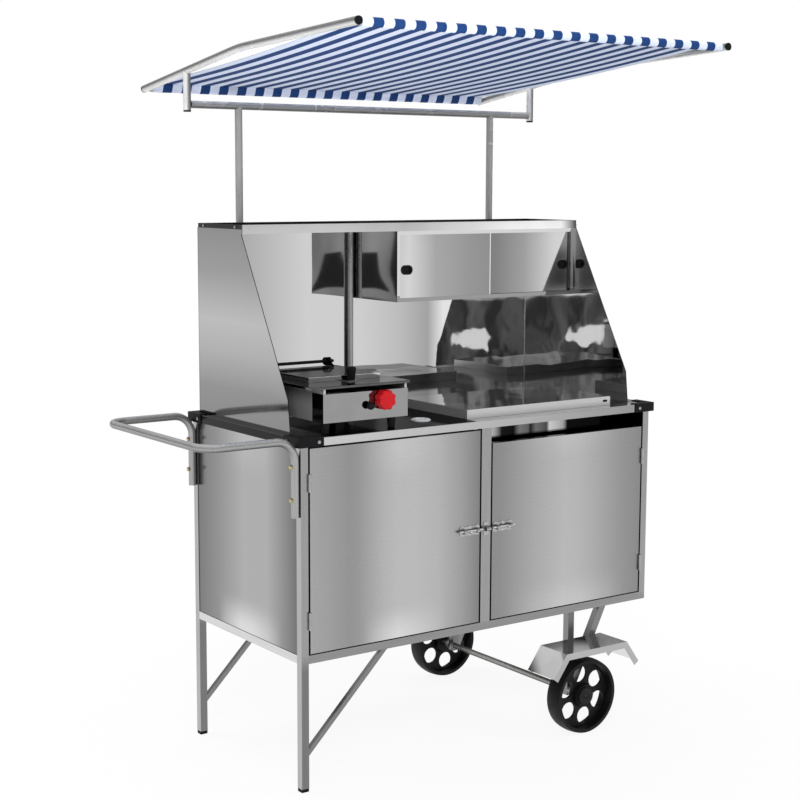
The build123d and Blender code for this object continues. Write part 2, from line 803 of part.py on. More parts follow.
# Uprights that carry the axle, bored for it
with BuildPart() as axle_struts:
    for y in (front + half_tube, back - half_tube):
        square_tube((axle_x, y, axle_z - strut_below_axle), (axle_x, y, rail_bottom), frame_tube, frame_wall)
    strut_bore = axle_diameter + 2 * axle_clearance
    round_bar((axle_x, front, axle_z), (axle_x, back, axle_z), strut_bore, Mode.SUBTRACT)
save(axle_struts.part, "axle_struts")

# Diagonal braces: light ones from the legs up to the rails, stout ones from the axle's uprights
with BuildPart() as braces:
    brace_slope = atan2(rail_bottom - brace_foot_height, brace_rail_reach - frame_tube)
    leg_run = Vector(cos(brace_slope), 0, sin(brace_slope)) * brace_side
    lean = atan2(strut_brace_reach, strut_brace_rise)
    strut_run = Vector(sin(lean), 0, cos(lean)) * frame_tube * 2
    for y in (front + half_tube, back - half_tube):
        foot = Vector(left + frame_tube, y, brace_foot_height)
        head = Vector(left + brace_rail_reach, y, rail_bottom)
        square_tube(foot - leg_run, head + leg_run, brace_side, brace_wall)
    split(bisect_by=at_x(left + frame_tube), keep=Keep.TOP)
    for y in (front + half_tube, back - half_tube):
        foot = Vector(axle_x + half_tube, y, rail_bottom - strut_brace_rise)
        head = Vector(axle_x + half_tube + strut_brace_reach, y, rail_bottom)
        square_tube(foot - strut_run, head + strut_run, frame_tube, frame_wall)
    with BuildSketch(at_z(0)):
        across(mid_x, front, axle_x + half_tube, back)
    extrude(amount=rail_bottom, mode=Mode.SUBTRACT)
    split(bisect_by=at_z(rail_bottom), keep=Keep.BOTTOM)
save(braces.part, "braces")

# Wheel guards: folded sheet with splayed ends over each wheel, welded to the outside of the uprights
with BuildPart() as wheel_guards:
    guard_left = axle_x - guard_half_length
    guard_right = axle_x + guard_half_length
    guard_front = front - guard_depth
    guard_profile = [
        (guard_left - guard_splay, guard_foot_height),
        (guard_left, guard_top_height),
        (guard_right, guard_top_height),
        (guard_right + guard_splay, guard_foot_height),
    ]
    with BuildSketch(at_y(guard_front)):
        with BuildLine():
            Polyline(*guard_profile)
            offset(amount=guard_sheet, side=Side.RIGHT)
        make_face()
    extrude(amount=-guard_depth)
    for y in (guard_front, front - guard_sheet):
        with BuildSketch(at_y(y)):
            with BuildLine():
                Polyline(*guard_profile)
                offset(amount=guard_band, side=Side.RIGHT)
            make_face()
        extrude(amount=-guard_sheet)
    mirror(about=at_y(mid_y))
save(wheel_guards.part, "wheel_guards")

# Bain-marie tank hung in the counter by its flange
tank_bottom = counter_height - tank_depth
flange_top = counter_height + tank_sheet
with BuildPart() as tank:
    with BuildSketch(at_z(tank_bottom)):
        with Locations((tank_x, tank_y)):
            Rectangle(tank_length + 2 * tank_sheet, tank_width + 2 * tank_sheet)
    extrude(amount=tank_depth)
    with BuildSketch(at_z(counter_height)):
        with Locations((tank_x, tank_y)):
            Rectangle(tank_length + 2 * tank_flange, tank_width + 2 * tank_flange)
    extrude(amount=tank_sheet)
    with BuildSketch(at_z(tank_bottom + tank_sheet)):
        with Locations((tank_x, tank_y)):
            Rectangle(tank_length, tank_width)
    extrude(amount=tank_depth, mode=Mode.SUBTRACT)
save(tank.part, "tank")

# Food pans that hang in the tank by their rims
pan_pitch = (tank_length + 2 * pan_flange) / pan_count
pan_rim_length = pan_pitch - pan_gap
pan_rim_width = tank_width + 2 * pan_flange
pan_inner_length = pan_pitch - 2 * pan_flange - 2 * pan_side_gap
pan_inner_width = tank_width - 2 * pan_side_gap - 2 * tank_sheet
with BuildPart() as food_pans:
    with BuildSketch(at_z(flange_top)):
        with Locations((tank_x, tank_y)):
            with GridLocations(pan_pitch, pan_pitch, pan_count, 1):
                Rectangle(pan_rim_length, pan_rim_width)
    extrude(amount=tank_sheet)
    with BuildSketch(at_z(flange_top)):
        with Locations((tank_x, tank_y)):
            with GridLocations(pan_pitch, pan_pitch, pan_count, 1):
                Rectangle(pan_inner_length + 2 * tank_sheet, pan_inner_width + 2 * tank_sheet)
    extrude(amount=-pan_depth)
    with BuildSketch(at_z(flange_top + tank_sheet)):
        with Locations((tank_x, tank_y)):
            with GridLocations(pan_pitch, pan_pitch, pan_count, 1):
                Rectangle(pan_inner_length, pan_inner_width)
    extrude(amount=-pan_depth, mode=Mode.SUBTRACT)
save(food_pans.part, "food_pans")

# Loose lid over the pans: a shallow pan upside down, with a finger slot in its front edge
lid_bottom = counter_height + lid_seat_gap
lid_front = tank_y - lid_width / 2
with BuildPart() as tank_lid:
    with BuildSketch(at_z(lid_bottom)):
        with Locations((tank_x, tank_y)):
            Rectangle(lid_length, lid_width)
    extrude(amount=lid_height)
    fillet(tank_lid.edges().group_by(Axis.Z)[-1], radius=lid_edge_round)
    with BuildSketch(at_z(lid_bottom)):
        with Locations((tank_x, tank_y)):
            Rectangle(lid_length - 2 * lid_sheet, lid_width - 2 * lid_sheet)
    extrude(amount=lid_height - lid_sheet, mode=Mode.SUBTRACT)
    with BuildSketch(at_y(lid_front)):
        with Locations((tank_x + lid_length / 2 - lid_slot_inset, lid_bottom + lid_height / 2)):
            SlotOverall(lid_slot_length, lid_slot_height)
    extrude(amount=-lid_sheet, mode=Mode.SUBTRACT)
save(tank_lid.part, "tank_lid")

# Bar burner hung under the tank, with its air mixer at the left end
burner_z = tank_bottom - burner_drop
with BuildPart() as tank_burner:
    burner_start = tank_x - burner_length / 2
    burner_end = tank_x + burner_length / 2
    round_bar((burner_start, tank_y, burner_z), (burner_end, tank_y, burner_z), burner_tube)
    mixer_start = burner_start - burner_venturi_length
    mixer_end = mixer_start - burner_mixer_length
    round_bar((mixer_start, tank_y, burner_z), (burner_start, tank_y, burner_z), burner_venturi)
    round_bar((mixer_end, tank_y, burner_z), (mixer_start, tank_y, burner_z), burner_mixer)
    for x in (burner_start + burner_tube, burner_end - burner_tube):
        with BuildSketch(at_x(x)):
            across(tank_y - burner_hanger_width / 2, burner_z, tank_y + burner_hanger_width / 2, tank_bottom)
        extrude(amount=burner_hanger)
save(tank_burner.part, "tank_burner")

# Griddle casing: four sheet walls, the front one cut out behind the control panel
griddle_front = front + griddle_from_front
griddle_bottom = counter_height + griddle_foot_height
griddle_top = griddle_bottom + griddle_height
griddle_back = griddle_front + griddle_depth
with BuildPart() as griddle_body:
    with BuildSketch(at_z(griddle_bottom)):
        across(griddle_left, griddle_front, griddle_right, griddle_back)
    extrude(amount=griddle_height)
    with BuildSketch(at_z(griddle_bottom + griddle_sheet)):
        across(griddle_left + griddle_sheet, griddle_front + griddle_sheet,
               griddle_right - griddle_sheet, griddle_back - griddle_sheet)
    extrude(amount=griddle_height, mode=Mode.SUBTRACT)
    with BuildSketch(at_y(griddle_front)):
        across(griddle_left + griddle_front_lip, griddle_bottom + griddle_front_lip,
               griddle_right - griddle_front_lip, griddle_top)
    extrude(amount=-griddle_sheet, mode=Mode.SUBTRACT)
save(griddle_body.part, "griddle_body")

# Control panel: a sheet folded round the front of the casing, with holes for the tap and the igniter
panel_left = griddle_left - front_panel_sheet
panel_right = griddle_right + front_panel_sheet
knob_x = griddle_right - gas_knob_from_right
knob_z = griddle_bottom + gas_knob_up
igniter_x = griddle_right - igniter_from_right
igniter_z = griddle_bottom + igniter_up
panel_front = griddle_front - front_panel_sheet
with BuildPart() as griddle_panel:
    with BuildSketch(at_y(panel_front)):
        across(panel_left, griddle_bottom, panel_right, griddle_bottom + front_panel_height)
        with Locations((knob_x, knob_z)):
            Circle(valve_stem / 2 + panel_hole_clearance, mode=Mode.SUBTRACT)
        with Locations((igniter_x, igniter_z)):
            Circle(igniter_stem / 2 + panel_hole_clearance, mode=Mode.SUBTRACT)
    extrude(amount=-front_panel_sheet)
    for x in (panel_left, griddle_right):
        with BuildSketch(at_x(x)):
            across(panel_front, griddle_bottom,
                   panel_front + front_panel_return, griddle_bottom + front_panel_height)
        extrude(amount=front_panel_sheet)
save(griddle_panel.part, "griddle_panel")

# Cooking plate, its edge standing out over the casing
with BuildPart() as griddle_plate:
    with BuildSketch(at_z(griddle_top)):
        across(griddle_left - plate_left_overhang, panel_front - plate_overhang,
               griddle_right + plate_overhang, griddle_back + plate_overhang)
    extrude(amount=plate_thickness)
    fillet(griddle_plate.edges().filter_by(Axis.Z), radius=plate_corner)
    chamfer(griddle_plate.edges().group_by(Axis.Z)[-1], length=plate_chamfer)
save(griddle_plate.part, "griddle_plate")

# Tapered rubber feet under the griddle
griddle_x = (griddle_left + griddle_right) / 2
griddle_y = (griddle_front + griddle_back) / 2
with BuildPart() as griddle_feet:
    foot_taper = degrees(atan2((griddle_foot_top - griddle_foot_bottom) / 2, griddle_foot_height))
    foot_rows = (griddle_left + griddle_foot_left_inset, griddle_right - griddle_foot_right_inset)
    foot_ends = (griddle_front + griddle_foot_end_inset, griddle_back - griddle_foot_end_inset)
    with BuildSketch(Plane(origin=(0, 0, griddle_bottom), x_dir=(1, 0, 0), z_dir=(0, 0, -1))):
        with Locations([(x, -y) for x in foot_rows for y in foot_ends]):
            Circle(griddle_foot_top / 2)
    extrude(amount=griddle_foot_height, taper=foot_taper)
save(griddle_feet.part, "griddle_feet")

# Burner inside the griddle: a bar across the casing fed from the tap
with BuildPart() as griddle_burner:
    bar_left = griddle_x - griddle_burner_length / 2
    bar_right = griddle_x + griddle_burner_length / 2
    round_bar((bar_left, griddle_y, knob_z), (bar_right, griddle_y, knob_z), griddle_burner_tube)
    feed_start = griddle_front + valve_length
    round_bar((knob_x, feed_start, knob_z), (knob_x, griddle_y, knob_z), griddle_feed_tube)
save(griddle_burner.part, "griddle_burner")

# Gas tap with its stem, and the igniter's barrel, both held behind the control panel
with BuildPart() as gas_fittings:
    stem_end = panel_front - gas_knob_gap - gas_knob_length / 2
    round_bar((knob_x, griddle_front, knob_z), (knob_x, feed_start, knob_z), valve_body)
    round_bar((knob_x, stem_end, knob_z), (knob_x, griddle_front, knob_z), valve_stem)
    igniter_bore = igniter_stem + 2 * panel_hole_clearance
    bore_end = griddle_front + igniter_stem_depth + 2 * igniter_travel
    round_bar((igniter_x, griddle_front, igniter_z), (igniter_x, feed_start, igniter_z), igniter_barrel)
    round_bar((igniter_x, griddle_front, igniter_z), (igniter_x, bore_end, igniter_z),
              igniter_bore, Mode.SUBTRACT)
save(gas_fittings.part, "gas_fittings")

# Fluted gas knob on the tap's stem
knob_back = panel_front - gas_knob_gap
with BuildPart() as gas_knob:
    with BuildSketch(Plane(origin=(knob_x, knob_back, knob_z), x_dir=(1, 0, 0), z_dir=(0, -1, 0))):
        Circle(gas_knob_diameter / 2)
        flute_circle = gas_knob_diameter / 2 + gas_knob_flute_radius - gas_knob_flute_depth
        with PolarLocations(flute_circle, gas_knob_flutes):
            Circle(gas_knob_flute_radius, mode=Mode.SUBTRACT)
    extrude(amount=gas_knob_length)
    chamfer(gas_knob.faces().sort_by(Axis.Y)[0].edges(), length=gas_knob_chamfer)
    round_bar((knob_x, stem_end - panel_hole_clearance, knob_z), (knob_x, knob_back, knob_z),
              valve_stem + 2 * knob_bore_clearance, Mode.SUBTRACT)
save(gas_knob.part, "gas_knob")

# Igniter button: a round head on a stem
with BuildPart() as igniter_button:
    head_back = panel_front - igniter_travel - gas_knob_gap
    stem_back = griddle_front + igniter_stem_depth
    round_bar((igniter_x, head_back, igniter_z), (igniter_x, stem_back, igniter_z), igniter_stem)
    head_front = head_back - igniter_head_length
    round_bar((igniter_x, head_front, igniter_z), (igniter_x, head_back, igniter_z), igniter_head)
    head_rim = igniter_button.edges().filter_by(GeomType.CIRCLE).sort_by(Axis.Y)[0]
    fillet(head_rim, radius=igniter_head_length / 2)
save(igniter_button.part, "igniter_button")

# Press lid: a shallow pan upside down with a front tab for its knob and two hinge lugs
press_left = griddle_left + press_from_left
press_front = panel_front - plate_overhang + press_set_back
press_right = griddle_right - press_from_right
press_bottom = griddle_top + plate_thickness + press_seat_gap
press_top = press_bottom + press_height
pivot_y = griddle_back + plate_overhang - hinge_ear_radius
press_back = pivot_y - hinge_bar_behind
pivot_z = press_bottom + hinge_bar_up
press_knob_x = press_left + press_knob_along
lug_places = (press_left + hinge_ear_inset + hinge_ear + hinge_lug_gap,
              press_right - hinge_ear_inset - hinge_ear - hinge_lug_gap - hinge_lug)
with BuildPart() as press_lid:
    with BuildSketch(at_z(press_bottom)):
        across(press_left, press_front, press_right, press_back)
    extrude(amount=press_height)
    fillet(press_lid.edges().group_by(Axis.Z)[-1], radius=press_edge_round)
    with BuildSketch(at_z(press_bottom)):
        across(press_left + press_sheet, press_front + press_sheet,
               press_right - press_sheet, press_back - press_sheet)
    extrude(amount=press_height - press_sheet, mode=Mode.SUBTRACT)
    with BuildSketch(at_z(press_bottom)):
        across(press_knob_x - press_tab_width / 2, press_front - press_tab_depth,
               press_knob_x + press_tab_width / 2, press_front + press_sheet)
    extrude(amount=press_sheet)
    for x in lug_places:
        with BuildSketch(at_x(x)):
            with BuildLine():
                Polyline(
                    (pivot_y, pivot_z + hinge_ear_radius),
                    (pivot_y - hinge_ear_radius, pivot_z + hinge_lug_shoulder),
                    (press_back - hinge_lug_reach, press_top),
                    (press_back - hinge_lug_reach, press_top - press_sheet),
                    (press_back, press_top - press_sheet),
                    (pivot_y, pivot_z - hinge_ear_radius),
                )
                ThreePointArc((pivot_y, pivot_z - hinge_ear_radius), (pivot_y + hinge_ear_radius, pivot_z),
                              (pivot_y, pivot_z + hinge_ear_radius))
            make_face()
            with Locations((pivot_y, pivot_z)):
                Circle(hinge_bar / 2 + hinge_bar_clearance, mode=Mode.SUBTRACT)
        extrude(amount=hinge_lug)
save(press_lid.part, "press_lid")

# Knob on the press lid's tab
with BuildPart() as press_knob:
    knob_y = press_front - press_tab_depth / 2
    knob_foot = press_bottom + press_sheet
    with BuildSketch(Plane(origin=(press_knob_x, knob_y, knob_foot), x_dir=(1, 0, 0), z_dir=(0, -1, 0))):
        with BuildLine():
            Polyline(
                (0, 0),
                (press_knob_bottom / 2, 0),
                (press_knob_top / 2, press_knob_height),
                (0, press_knob_height),
                close=True,
            )
        make_face()
    revolve(axis=Axis((press_knob_x, knob_y, 0), (0, 0, 1)))
    fillet(press_knob.faces().sort_by(Axis.Z)[-1].edges(), radius=press_knob_round)
save(press_knob.part, "press_knob")

# Hinge ears on the cooking plate and the bar through them
with BuildPart() as press_hinge:
    ear_foot = griddle_top + plate_thickness
    ear_places = (press_left + hinge_ear_inset, press_right - hinge_ear_inset - hinge_ear)
    for x in ear_places:
        with BuildSketch(at_x(x)):
            across(pivot_y - hinge_ear_radius, ear_foot, pivot_y + hinge_ear_radius, pivot_z)
            with Locations((pivot_y, pivot_z)):
                Circle(hinge_ear_radius)
                Circle(hinge_bar / 2 + hinge_bar_clearance, mode=Mode.SUBTRACT)
        extrude(amount=hinge_ear)
    round_bar((press_left, pivot_y, pivot_z), (press_right, pivot_y, pivot_z), hinge_bar)
save(press_hinge.part, "press_hinge")

# Hood: one folded sheet, two sides with slanted fronts and the back between them
hood_left = left + hood_inset
hood_right = right - hood_inset
hood_back = back - hood_back_inset
tray_front = front + tray_front_from_front
with BuildPart() as hood_shell:
    with BuildSketch(at_x(hood_left)):
        with BuildLine():
            Polyline(
                (hood_back, counter_height),
                (hood_back, tray_bottom + tray_end_lap),
                (tray_front, tray_bottom + tray_end_lap),
                (tray_front, tray_bottom),
                (front + hood_knee_from_front, counter_height + hood_knee_rise),
                (front + hood_foot_from_front, counter_height),
                close=True,
            )
        make_face()
    extrude(amount=hood_sheet)
    mirror(about=at_x(mid_x))
    with BuildSketch(at_y(hood_back - hood_sheet)):
        across(hood_left, counter_height, hood_right, tray_bottom)
    extrude(amount=-hood_sheet)
save(hood_shell.part, "hood_shell")

# Shallow tray that closes the hood's top, set between the tops of its sides
tray_left = hood_left + hood_sheet
tray_right = hood_right - hood_sheet
tray_bolt_places = [(y, tray_bottom + tray_height - tray_bolt_drop)
                    for y in (tray_front + tray_bolt_inset, hood_back - tray_bolt_inset)]
with BuildPart() as top_tray:
    with BuildSketch(at_z(tray_bottom)):
        across(tray_left, tray_front, tray_right, hood_back)
    extrude(amount=tray_height)
    with BuildSketch(at_z(tray_bottom + hood_sheet)):
        across(tray_left + hood_sheet, tray_front + hood_sheet,
               tray_right - hood_sheet, hood_back - hood_sheet)
    extrude(amount=tray_height, mode=Mode.SUBTRACT)
    for y, z in tray_bolt_places:
        round_bar((tray_left, y, z), (tray_right, y, z), tray_bolt_shank + 2 * ring_clearance, Mode.SUBTRACT)
save(top_tray.part, "top_tray")

# Bolts through the tray's two ends
with BuildPart() as tray_bolts:
    for y, z in tray_bolt_places:
        for wall, outward in ((tray_left, -1), (tray_right, 1)):
            round_bar((wall, y, z), (wall + outward * tray_bolt_head_height, y, z), tray_bolt_head)
            round_bar((wall - outward * 2 * hood_sheet, y, z), (wall, y, z), tray_bolt_shank)
    tray_bolt_rims = tray_bolts.edges().filter_by(GeomType.CIRCLE).group_by(Axis.X)
    fillet(tray_bolt_rims[0] + tray_bolt_rims[-1], radius=tray_bolt_head_height / 2)
save(tray_bolts.part, "tray_bolts")

# Upper box: floor, ends with a lip at the front, and track ribs for the doors
box_x = left + box_left
box_y = tray_front + box_set_back
box_end = hood_right - hood_sheet
box_back = hood_back - hood_sheet
track_pitch = track_groove + track_rib
track_depth = 2 * track_pitch + track_rib
with BuildPart() as box_shell:
    with BuildSketch(at_x(box_x)):
        across(box_y, box_bottom, box_back, box_bottom + box_sheet)
        across(box_y, tray_bottom - box_sheet, box_y + track_depth, tray_bottom)
        for rib in range(3):
            rib_y = box_y + rib * track_pitch
            across(rib_y, box_bottom, rib_y + track_rib, box_bottom + track_rib_height)
            across(rib_y, tray_bottom - track_rib_height, rib_y + track_rib, tray_bottom)
    extrude(amount=box_end - box_x)
    for x in (box_x, box_end - box_sheet):
        with BuildSketch(at_x(x)):
            across(box_y, box_bottom, box_back, tray_bottom)
        extrude(amount=box_sheet)
    with BuildSketch(at_y(box_y)):
        across(box_x, box_bottom, box_x + box_lip, tray_bottom)
        across(box_end - box_lip, box_bottom, box_end, tray_bottom)
    extrude(amount=-track_rib)
save(box_shell.part, "box_shell")

# Sliding doors: plates in the two tracks, the left one in front, each with a hole for its pull
door_foot = box_bottom + box_sheet + slide_door_foot_gap
door_head = tray_bottom - box_sheet - slide_door_head_gap
inner_left = box_x + box_sheet + slide_door_end_gap
inner_right = box_end - box_sheet - slide_door_end_gap
slide_door_length = (inner_right - inner_left + slide_door_lap) / 2
door_inset = track_rib + (track_groove - slide_door_sheet) / 2
left_slide_y = box_y + door_inset
right_slide_y = left_slide_y + track_pitch
pull_z = box_bottom + pull_up
pull_left_x = inner_left + pull_inset
pull_right_x = inner_right - pull_inset


def slide_door(name, low_x, y, pull_x):
    """One sliding door plate."""
    with BuildPart() as plate:
        with BuildSketch(at_y(y)):
            across(low_x, door_foot, low_x + slide_door_length, door_head)
            with Locations((pull_x, pull_z)):
                SlotOverall(pull_hole_length, pull_hole_height, mode=Mode.SUBTRACT)
        extrude(amount=-slide_door_sheet)
    save(plate.part, name)


def finger_pull(name, y, pull_x):
    """Oblong finger cup in a sliding door: a rim on the face and a closed back."""
    cup_length = pull_hole_length - 2 * pull_clearance
    cup_height = pull_hole_height - 2 * pull_clearance
    with BuildPart() as pull:
        with BuildSketch(at_y(y)):
            with Locations((pull_x, pull_z)):
                SlotOverall(pull_hole_length + 2 * pull_rim, pull_hole_height + 2 * pull_rim)
        extrude(amount=pull_rim_height)
        with BuildSketch(at_y(y)):
            with Locations((pull_x, pull_z)):
                SlotOverall(cup_length, cup_height)
        extrude(amount=-slide_door_sheet)
        with BuildSketch(at_y(y - pull_rim_height)):
            with Locations((pull_x, pull_z)):
                SlotOverall(cup_length - 2 * pull_wall, cup_height - 2 * pull_wall)
        extrude(amount=pull_floor - pull_rim_height - slide_door_sheet, mode=Mode.SUBTRACT)
    save(pull.part, name)


slide_door("left_slide_door", inner_left, left_slide_y, pull_left_x)
slide_door("right_slide_door", inner_right - slide_door_length, right_slide_y, pull_right_x)
finger_pull("left_pull", left_slide_y, pull_left_x)
finger_pull("right_pull", right_slide_y, pull_right_x)

# Post inside the hood, at the left end of the upper box
with BuildPart() as mid_post:
    post_x = box_x - mid_post_box_gap - mid_post_tube / 2
    post_y = hood_back - hood_sheet - mid_post_back_gap - mid_post_tube / 2
    round_tube((post_x, post_y, counter_height), (post_x, post_y, tray_bottom), mid_post_tube, mid_post_wall)
save(mid_post.part, "mid_post")

# Sockets on the back of the hood for the awning's posts: a closed tube on a plate
stand_posts = (left + stand_post_from_left, right - stand_post_from_left)
socket_bore = awning_tube + 2 * socket_clearance
stand_y = hood_back + socket_plate + socket_bore / 2
socket_top = tray_bottom + socket_above_tray
socket_bottom = socket_top - socket_height
with BuildPart() as awning_sockets:
    with BuildSketch(at_y(hood_back)):
        for x in stand_posts:
            across(x - socket_plate_width / 2, socket_bottom, x + socket_plate_width / 2, socket_top)
    extrude(amount=-socket_plate)
    for x in stand_posts:
        round_bar((x, stand_y, socket_bottom), (x, stand_y, socket_top), socket_bore + 2 * socket_wall)
    for x in stand_posts:
        round_bar((x, stand_y, socket_bottom + socket_floor), (x, stand_y, socket_top),
                  socket_bore, Mode.SUBTRACT)
save(awning_sockets.part, "awning_sockets")

# Awning stand: two posts, coped under a cross tube that runs between two upright stubs
awning_radius = awning_tube / 2
side_left = left - awning_side_over + awning_radius
side_right = right + awning_side_over - awning_radius
awning_front = front - awning_front_over
awning_back = back + awning_back_over
bend_y = front + awning_bend_from_front
front_slope = atan2(awning_front_height - awning_bend_height, bend_y - awning_front)
back_slope = atan2(awning_bend_height - awning_back_height, awning_back - bend_y)
front_end_y = awning_front + awning_cap_length * cos(front_slope) + awning_radius * sin(front_slope)
back_end_y = awning_back - awning_cap_length * cos(back_slope) - awning_radius * sin(back_slope)
front_end_z = awning_bend_height + (bend_y - front_end_y) * tan(front_slope)
back_end_z = awning_bend_height - (back_end_y - bend_y) * tan(back_slope)
weld_reach = awning_radius + weld_gap
with BuildPart() as awning_posts:
    post_foot = socket_bottom + socket_floor + socket_floor_gap
    for x in stand_posts:
        round_tube((x, stand_y, post_foot), (x, stand_y, stand_cross_height), awning_tube, awning_wall)
    round_bar((side_left, stand_y, stand_cross_height), (side_right, stand_y, stand_cross_height),
              2 * weld_reach, Mode.SUBTRACT)
save(awning_posts.part, "awning_posts")

stub_foot = stand_cross_height - awning_radius - stand_stub_below
stub_head = awning_bend_height - (stand_y - bend_y) * tan(back_slope)
with BuildPart() as awning_cross_bar:
    for x in (side_left, side_right):
        round_tube((x, stand_y, stub_foot), (x, stand_y, stub_head), awning_tube, awning_wall)
        round_bar((x, bend_y, awning_bend_height), (x, back_end_y, back_end_z), 2 * weld_reach, Mode.SUBTRACT)
    round_tube((side_left + weld_reach, stand_y, stand_cross_height),
               (side_right - weld_reach, stand_y, stand_cross_height), awning_tube, awning_wall)
save(awning_cross_bar.part, "awning_cross_bar")

# Roof frame: two bent side tubes with a front and a back tube between them
front_tube_y = front_end_y + awning_end_tube_inset
back_tube_y = back_end_y - awning_end_tube_inset
front_tube_z = front_end_z - awning_end_tube_inset * tan(front_slope)
back_tube_z = back_end_z + awning_end_tube_inset * tan(back_slope)
with BuildPart() as roof_frame:
    for x in (side_left, side_right):
        with BuildLine() as side_path:
            FilletPolyline(
                (x, front_end_y, front_end_z),
                (x, bend_y, awning_bend_height),
                (x, back_end_y, back_end_z),
                radius=awning_bend_radius,
            )
        with BuildSketch(Plane(origin=side_path.line @ 0, z_dir=side_path.line % 0)):
            Circle(awning_radius)
            Circle(awning_radius - awning_wall, mode=Mode.SUBTRACT)
        sweep(path=side_path.line)
    for y, z in ((front_tube_y, front_tube_z), (back_tube_y, back_tube_z)):
        round_tube((side_left + weld_reach, y, z), (side_right - weld_reach, y, z), awning_tube, awning_wall)
save(roof_frame.part, "roof_frame")

# Plastic plugs in the open ends of the side tubes and stubs
with BuildPart() as awning_plugs:
    insert = awning_tube - 2 * awning_wall - 2 * plug_clearance
    forward = Vector(0, -cos(front_slope), sin(front_slope))
    rearward = Vector(0, cos(back_slope), -sin(back_slope))
    for x in (side_left, side_right):
        ends = (
            (Vector(x, front_end_y, front_end_z), forward),
            (Vector(x, back_end_y, back_end_z), rearward),
            (Vector(x, stand_y, stub_foot), Vector(0, 0, -1)),
        )
        for place, outward in ends:
            round_bar(place, place + outward * awning_cap_length, awning_tube)
            round_bar(place - outward * plug_height, place, insert)
save(awning_plugs.part, "awning_plugs")

# Awning cloth: one taut sheet from tube to tube, with a sewn pocket round each
cloth_inner = awning_radius + cloth_clearance
cloth_outer = cloth_inner + cloth_thickness
cloth_left = side_left + awning_radius + cloth_side_gap
cloth_right = side_right - awning_radius - cloth_side_gap
cloth_slope = atan2(front_tube_z - back_tube_z, back_tube_y - front_tube_y)
with BuildPart() as canopy:
    rise = Vector(sin(cloth_slope), cos(cloth_slope))
    corners = [
        (front_tube_y + rise.X * cloth_inner, front_tube_z + rise.Y * cloth_inner),
        (front_tube_y + rise.X * cloth_outer, front_tube_z + rise.Y * cloth_outer),
        (back_tube_y + rise.X * cloth_outer, back_tube_z + rise.Y * cloth_outer),
        (back_tube_y + rise.X * cloth_inner, back_tube_z + rise.Y * cloth_inner),
    ]
    with BuildSketch(at_x(cloth_left)):
        with BuildLine():
            Polyline(*corners, close=True)
        make_face()
        with Locations((front_tube_y, front_tube_z), (back_tube_y, back_tube_z)):
            Circle(cloth_outer)
            Circle(cloth_inner, mode=Mode.SUBTRACT)
    extrude(amount=cloth_right - cloth_left)
save(canopy.part, "canopy")
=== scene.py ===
"""Looks of the hot dog cart: finishes, the striped awning cloth, studio and camera. Metres, +Z up."""

import bpy
import numpy as np
from mathutils import Matrix, Vector


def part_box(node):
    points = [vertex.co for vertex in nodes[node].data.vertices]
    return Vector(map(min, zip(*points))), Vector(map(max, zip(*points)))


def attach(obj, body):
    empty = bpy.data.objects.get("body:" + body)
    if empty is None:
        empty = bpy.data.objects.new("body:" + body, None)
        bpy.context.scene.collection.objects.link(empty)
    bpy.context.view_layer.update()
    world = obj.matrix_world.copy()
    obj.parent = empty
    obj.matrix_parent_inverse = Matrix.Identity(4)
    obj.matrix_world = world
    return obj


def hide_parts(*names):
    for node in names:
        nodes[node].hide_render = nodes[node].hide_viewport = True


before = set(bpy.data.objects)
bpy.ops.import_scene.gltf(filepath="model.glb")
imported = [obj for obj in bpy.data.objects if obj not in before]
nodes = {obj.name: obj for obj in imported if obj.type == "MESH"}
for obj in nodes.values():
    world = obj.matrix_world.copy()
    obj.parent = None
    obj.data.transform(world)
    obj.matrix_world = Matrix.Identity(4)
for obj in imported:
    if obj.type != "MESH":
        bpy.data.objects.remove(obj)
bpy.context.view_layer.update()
scene = bpy.context.scene

MM = 0.001


def linear(code):
    """Linear RGBA of an sRGB hex colour."""
    srgb = np.array([int(code[k:k + 2], 16) for k in (1, 3, 5)]) / 255
    low, high = srgb / 12.92, ((srgb + 0.055) / 1.055) ** 2.4
    return (*np.where(srgb <= 0.04045, low, high).tolist(), 1.0)


def put(tree, kind, inputs=None, out=0, stops=(), **settings):
    """Adds a node and gives one of its outputs.

    Settings are its attributes, inputs its sockets, each a value or another node's output, and stops the
    places and hex colours of a colour ramp, which has two steps when it is new."""
    made = tree.nodes.new(kind)
    for key, value in settings.items():
        setattr(made, key, value)
    for key, value in (inputs or {}).items():
        if isinstance(value, bpy.types.NodeSocket):
            tree.links.new(value, made.inputs[key])
        else:
            made.inputs[key].default_value = value
    for k, (place, code) in enumerate(stops):
        steps = made.color_ramp.elements
        step = steps[k] if k < 2 else steps.new(place)
        step.position, step.color = place, linear(code)
    return made.outputs[out] if made.outputs else None


def new_material(name):
    """An empty material and its node tree."""
    made = bpy.data.materials.new(name)
    made.use_nodes = True
    made.node_tree.nodes.clear()
    return made, made.node_tree


def give(material, *names):
    """Puts a material in every slot of these solids."""
    for name in names:
        slots = nodes[name].data.materials
        slots.clear()
        slots.append(material)


def reach(name, axis):
    """Low and high end of a solid along an axis."""
    low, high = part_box(name)
    k = "XYZ".index(axis)
    return low[k], high[k]


# Finishes

# Noise keeps near its middle, so these spans of it count as the whole
NOISE = {"From Min": 0.3, "From Max": 0.7}
SMEARS = {"From Min": 0.3, "From Max": 0.75}
# Turned right away from a direction, to turned right to it
BOTH_WAYS = {"From Min": -1.0, "From Max": 1.0}

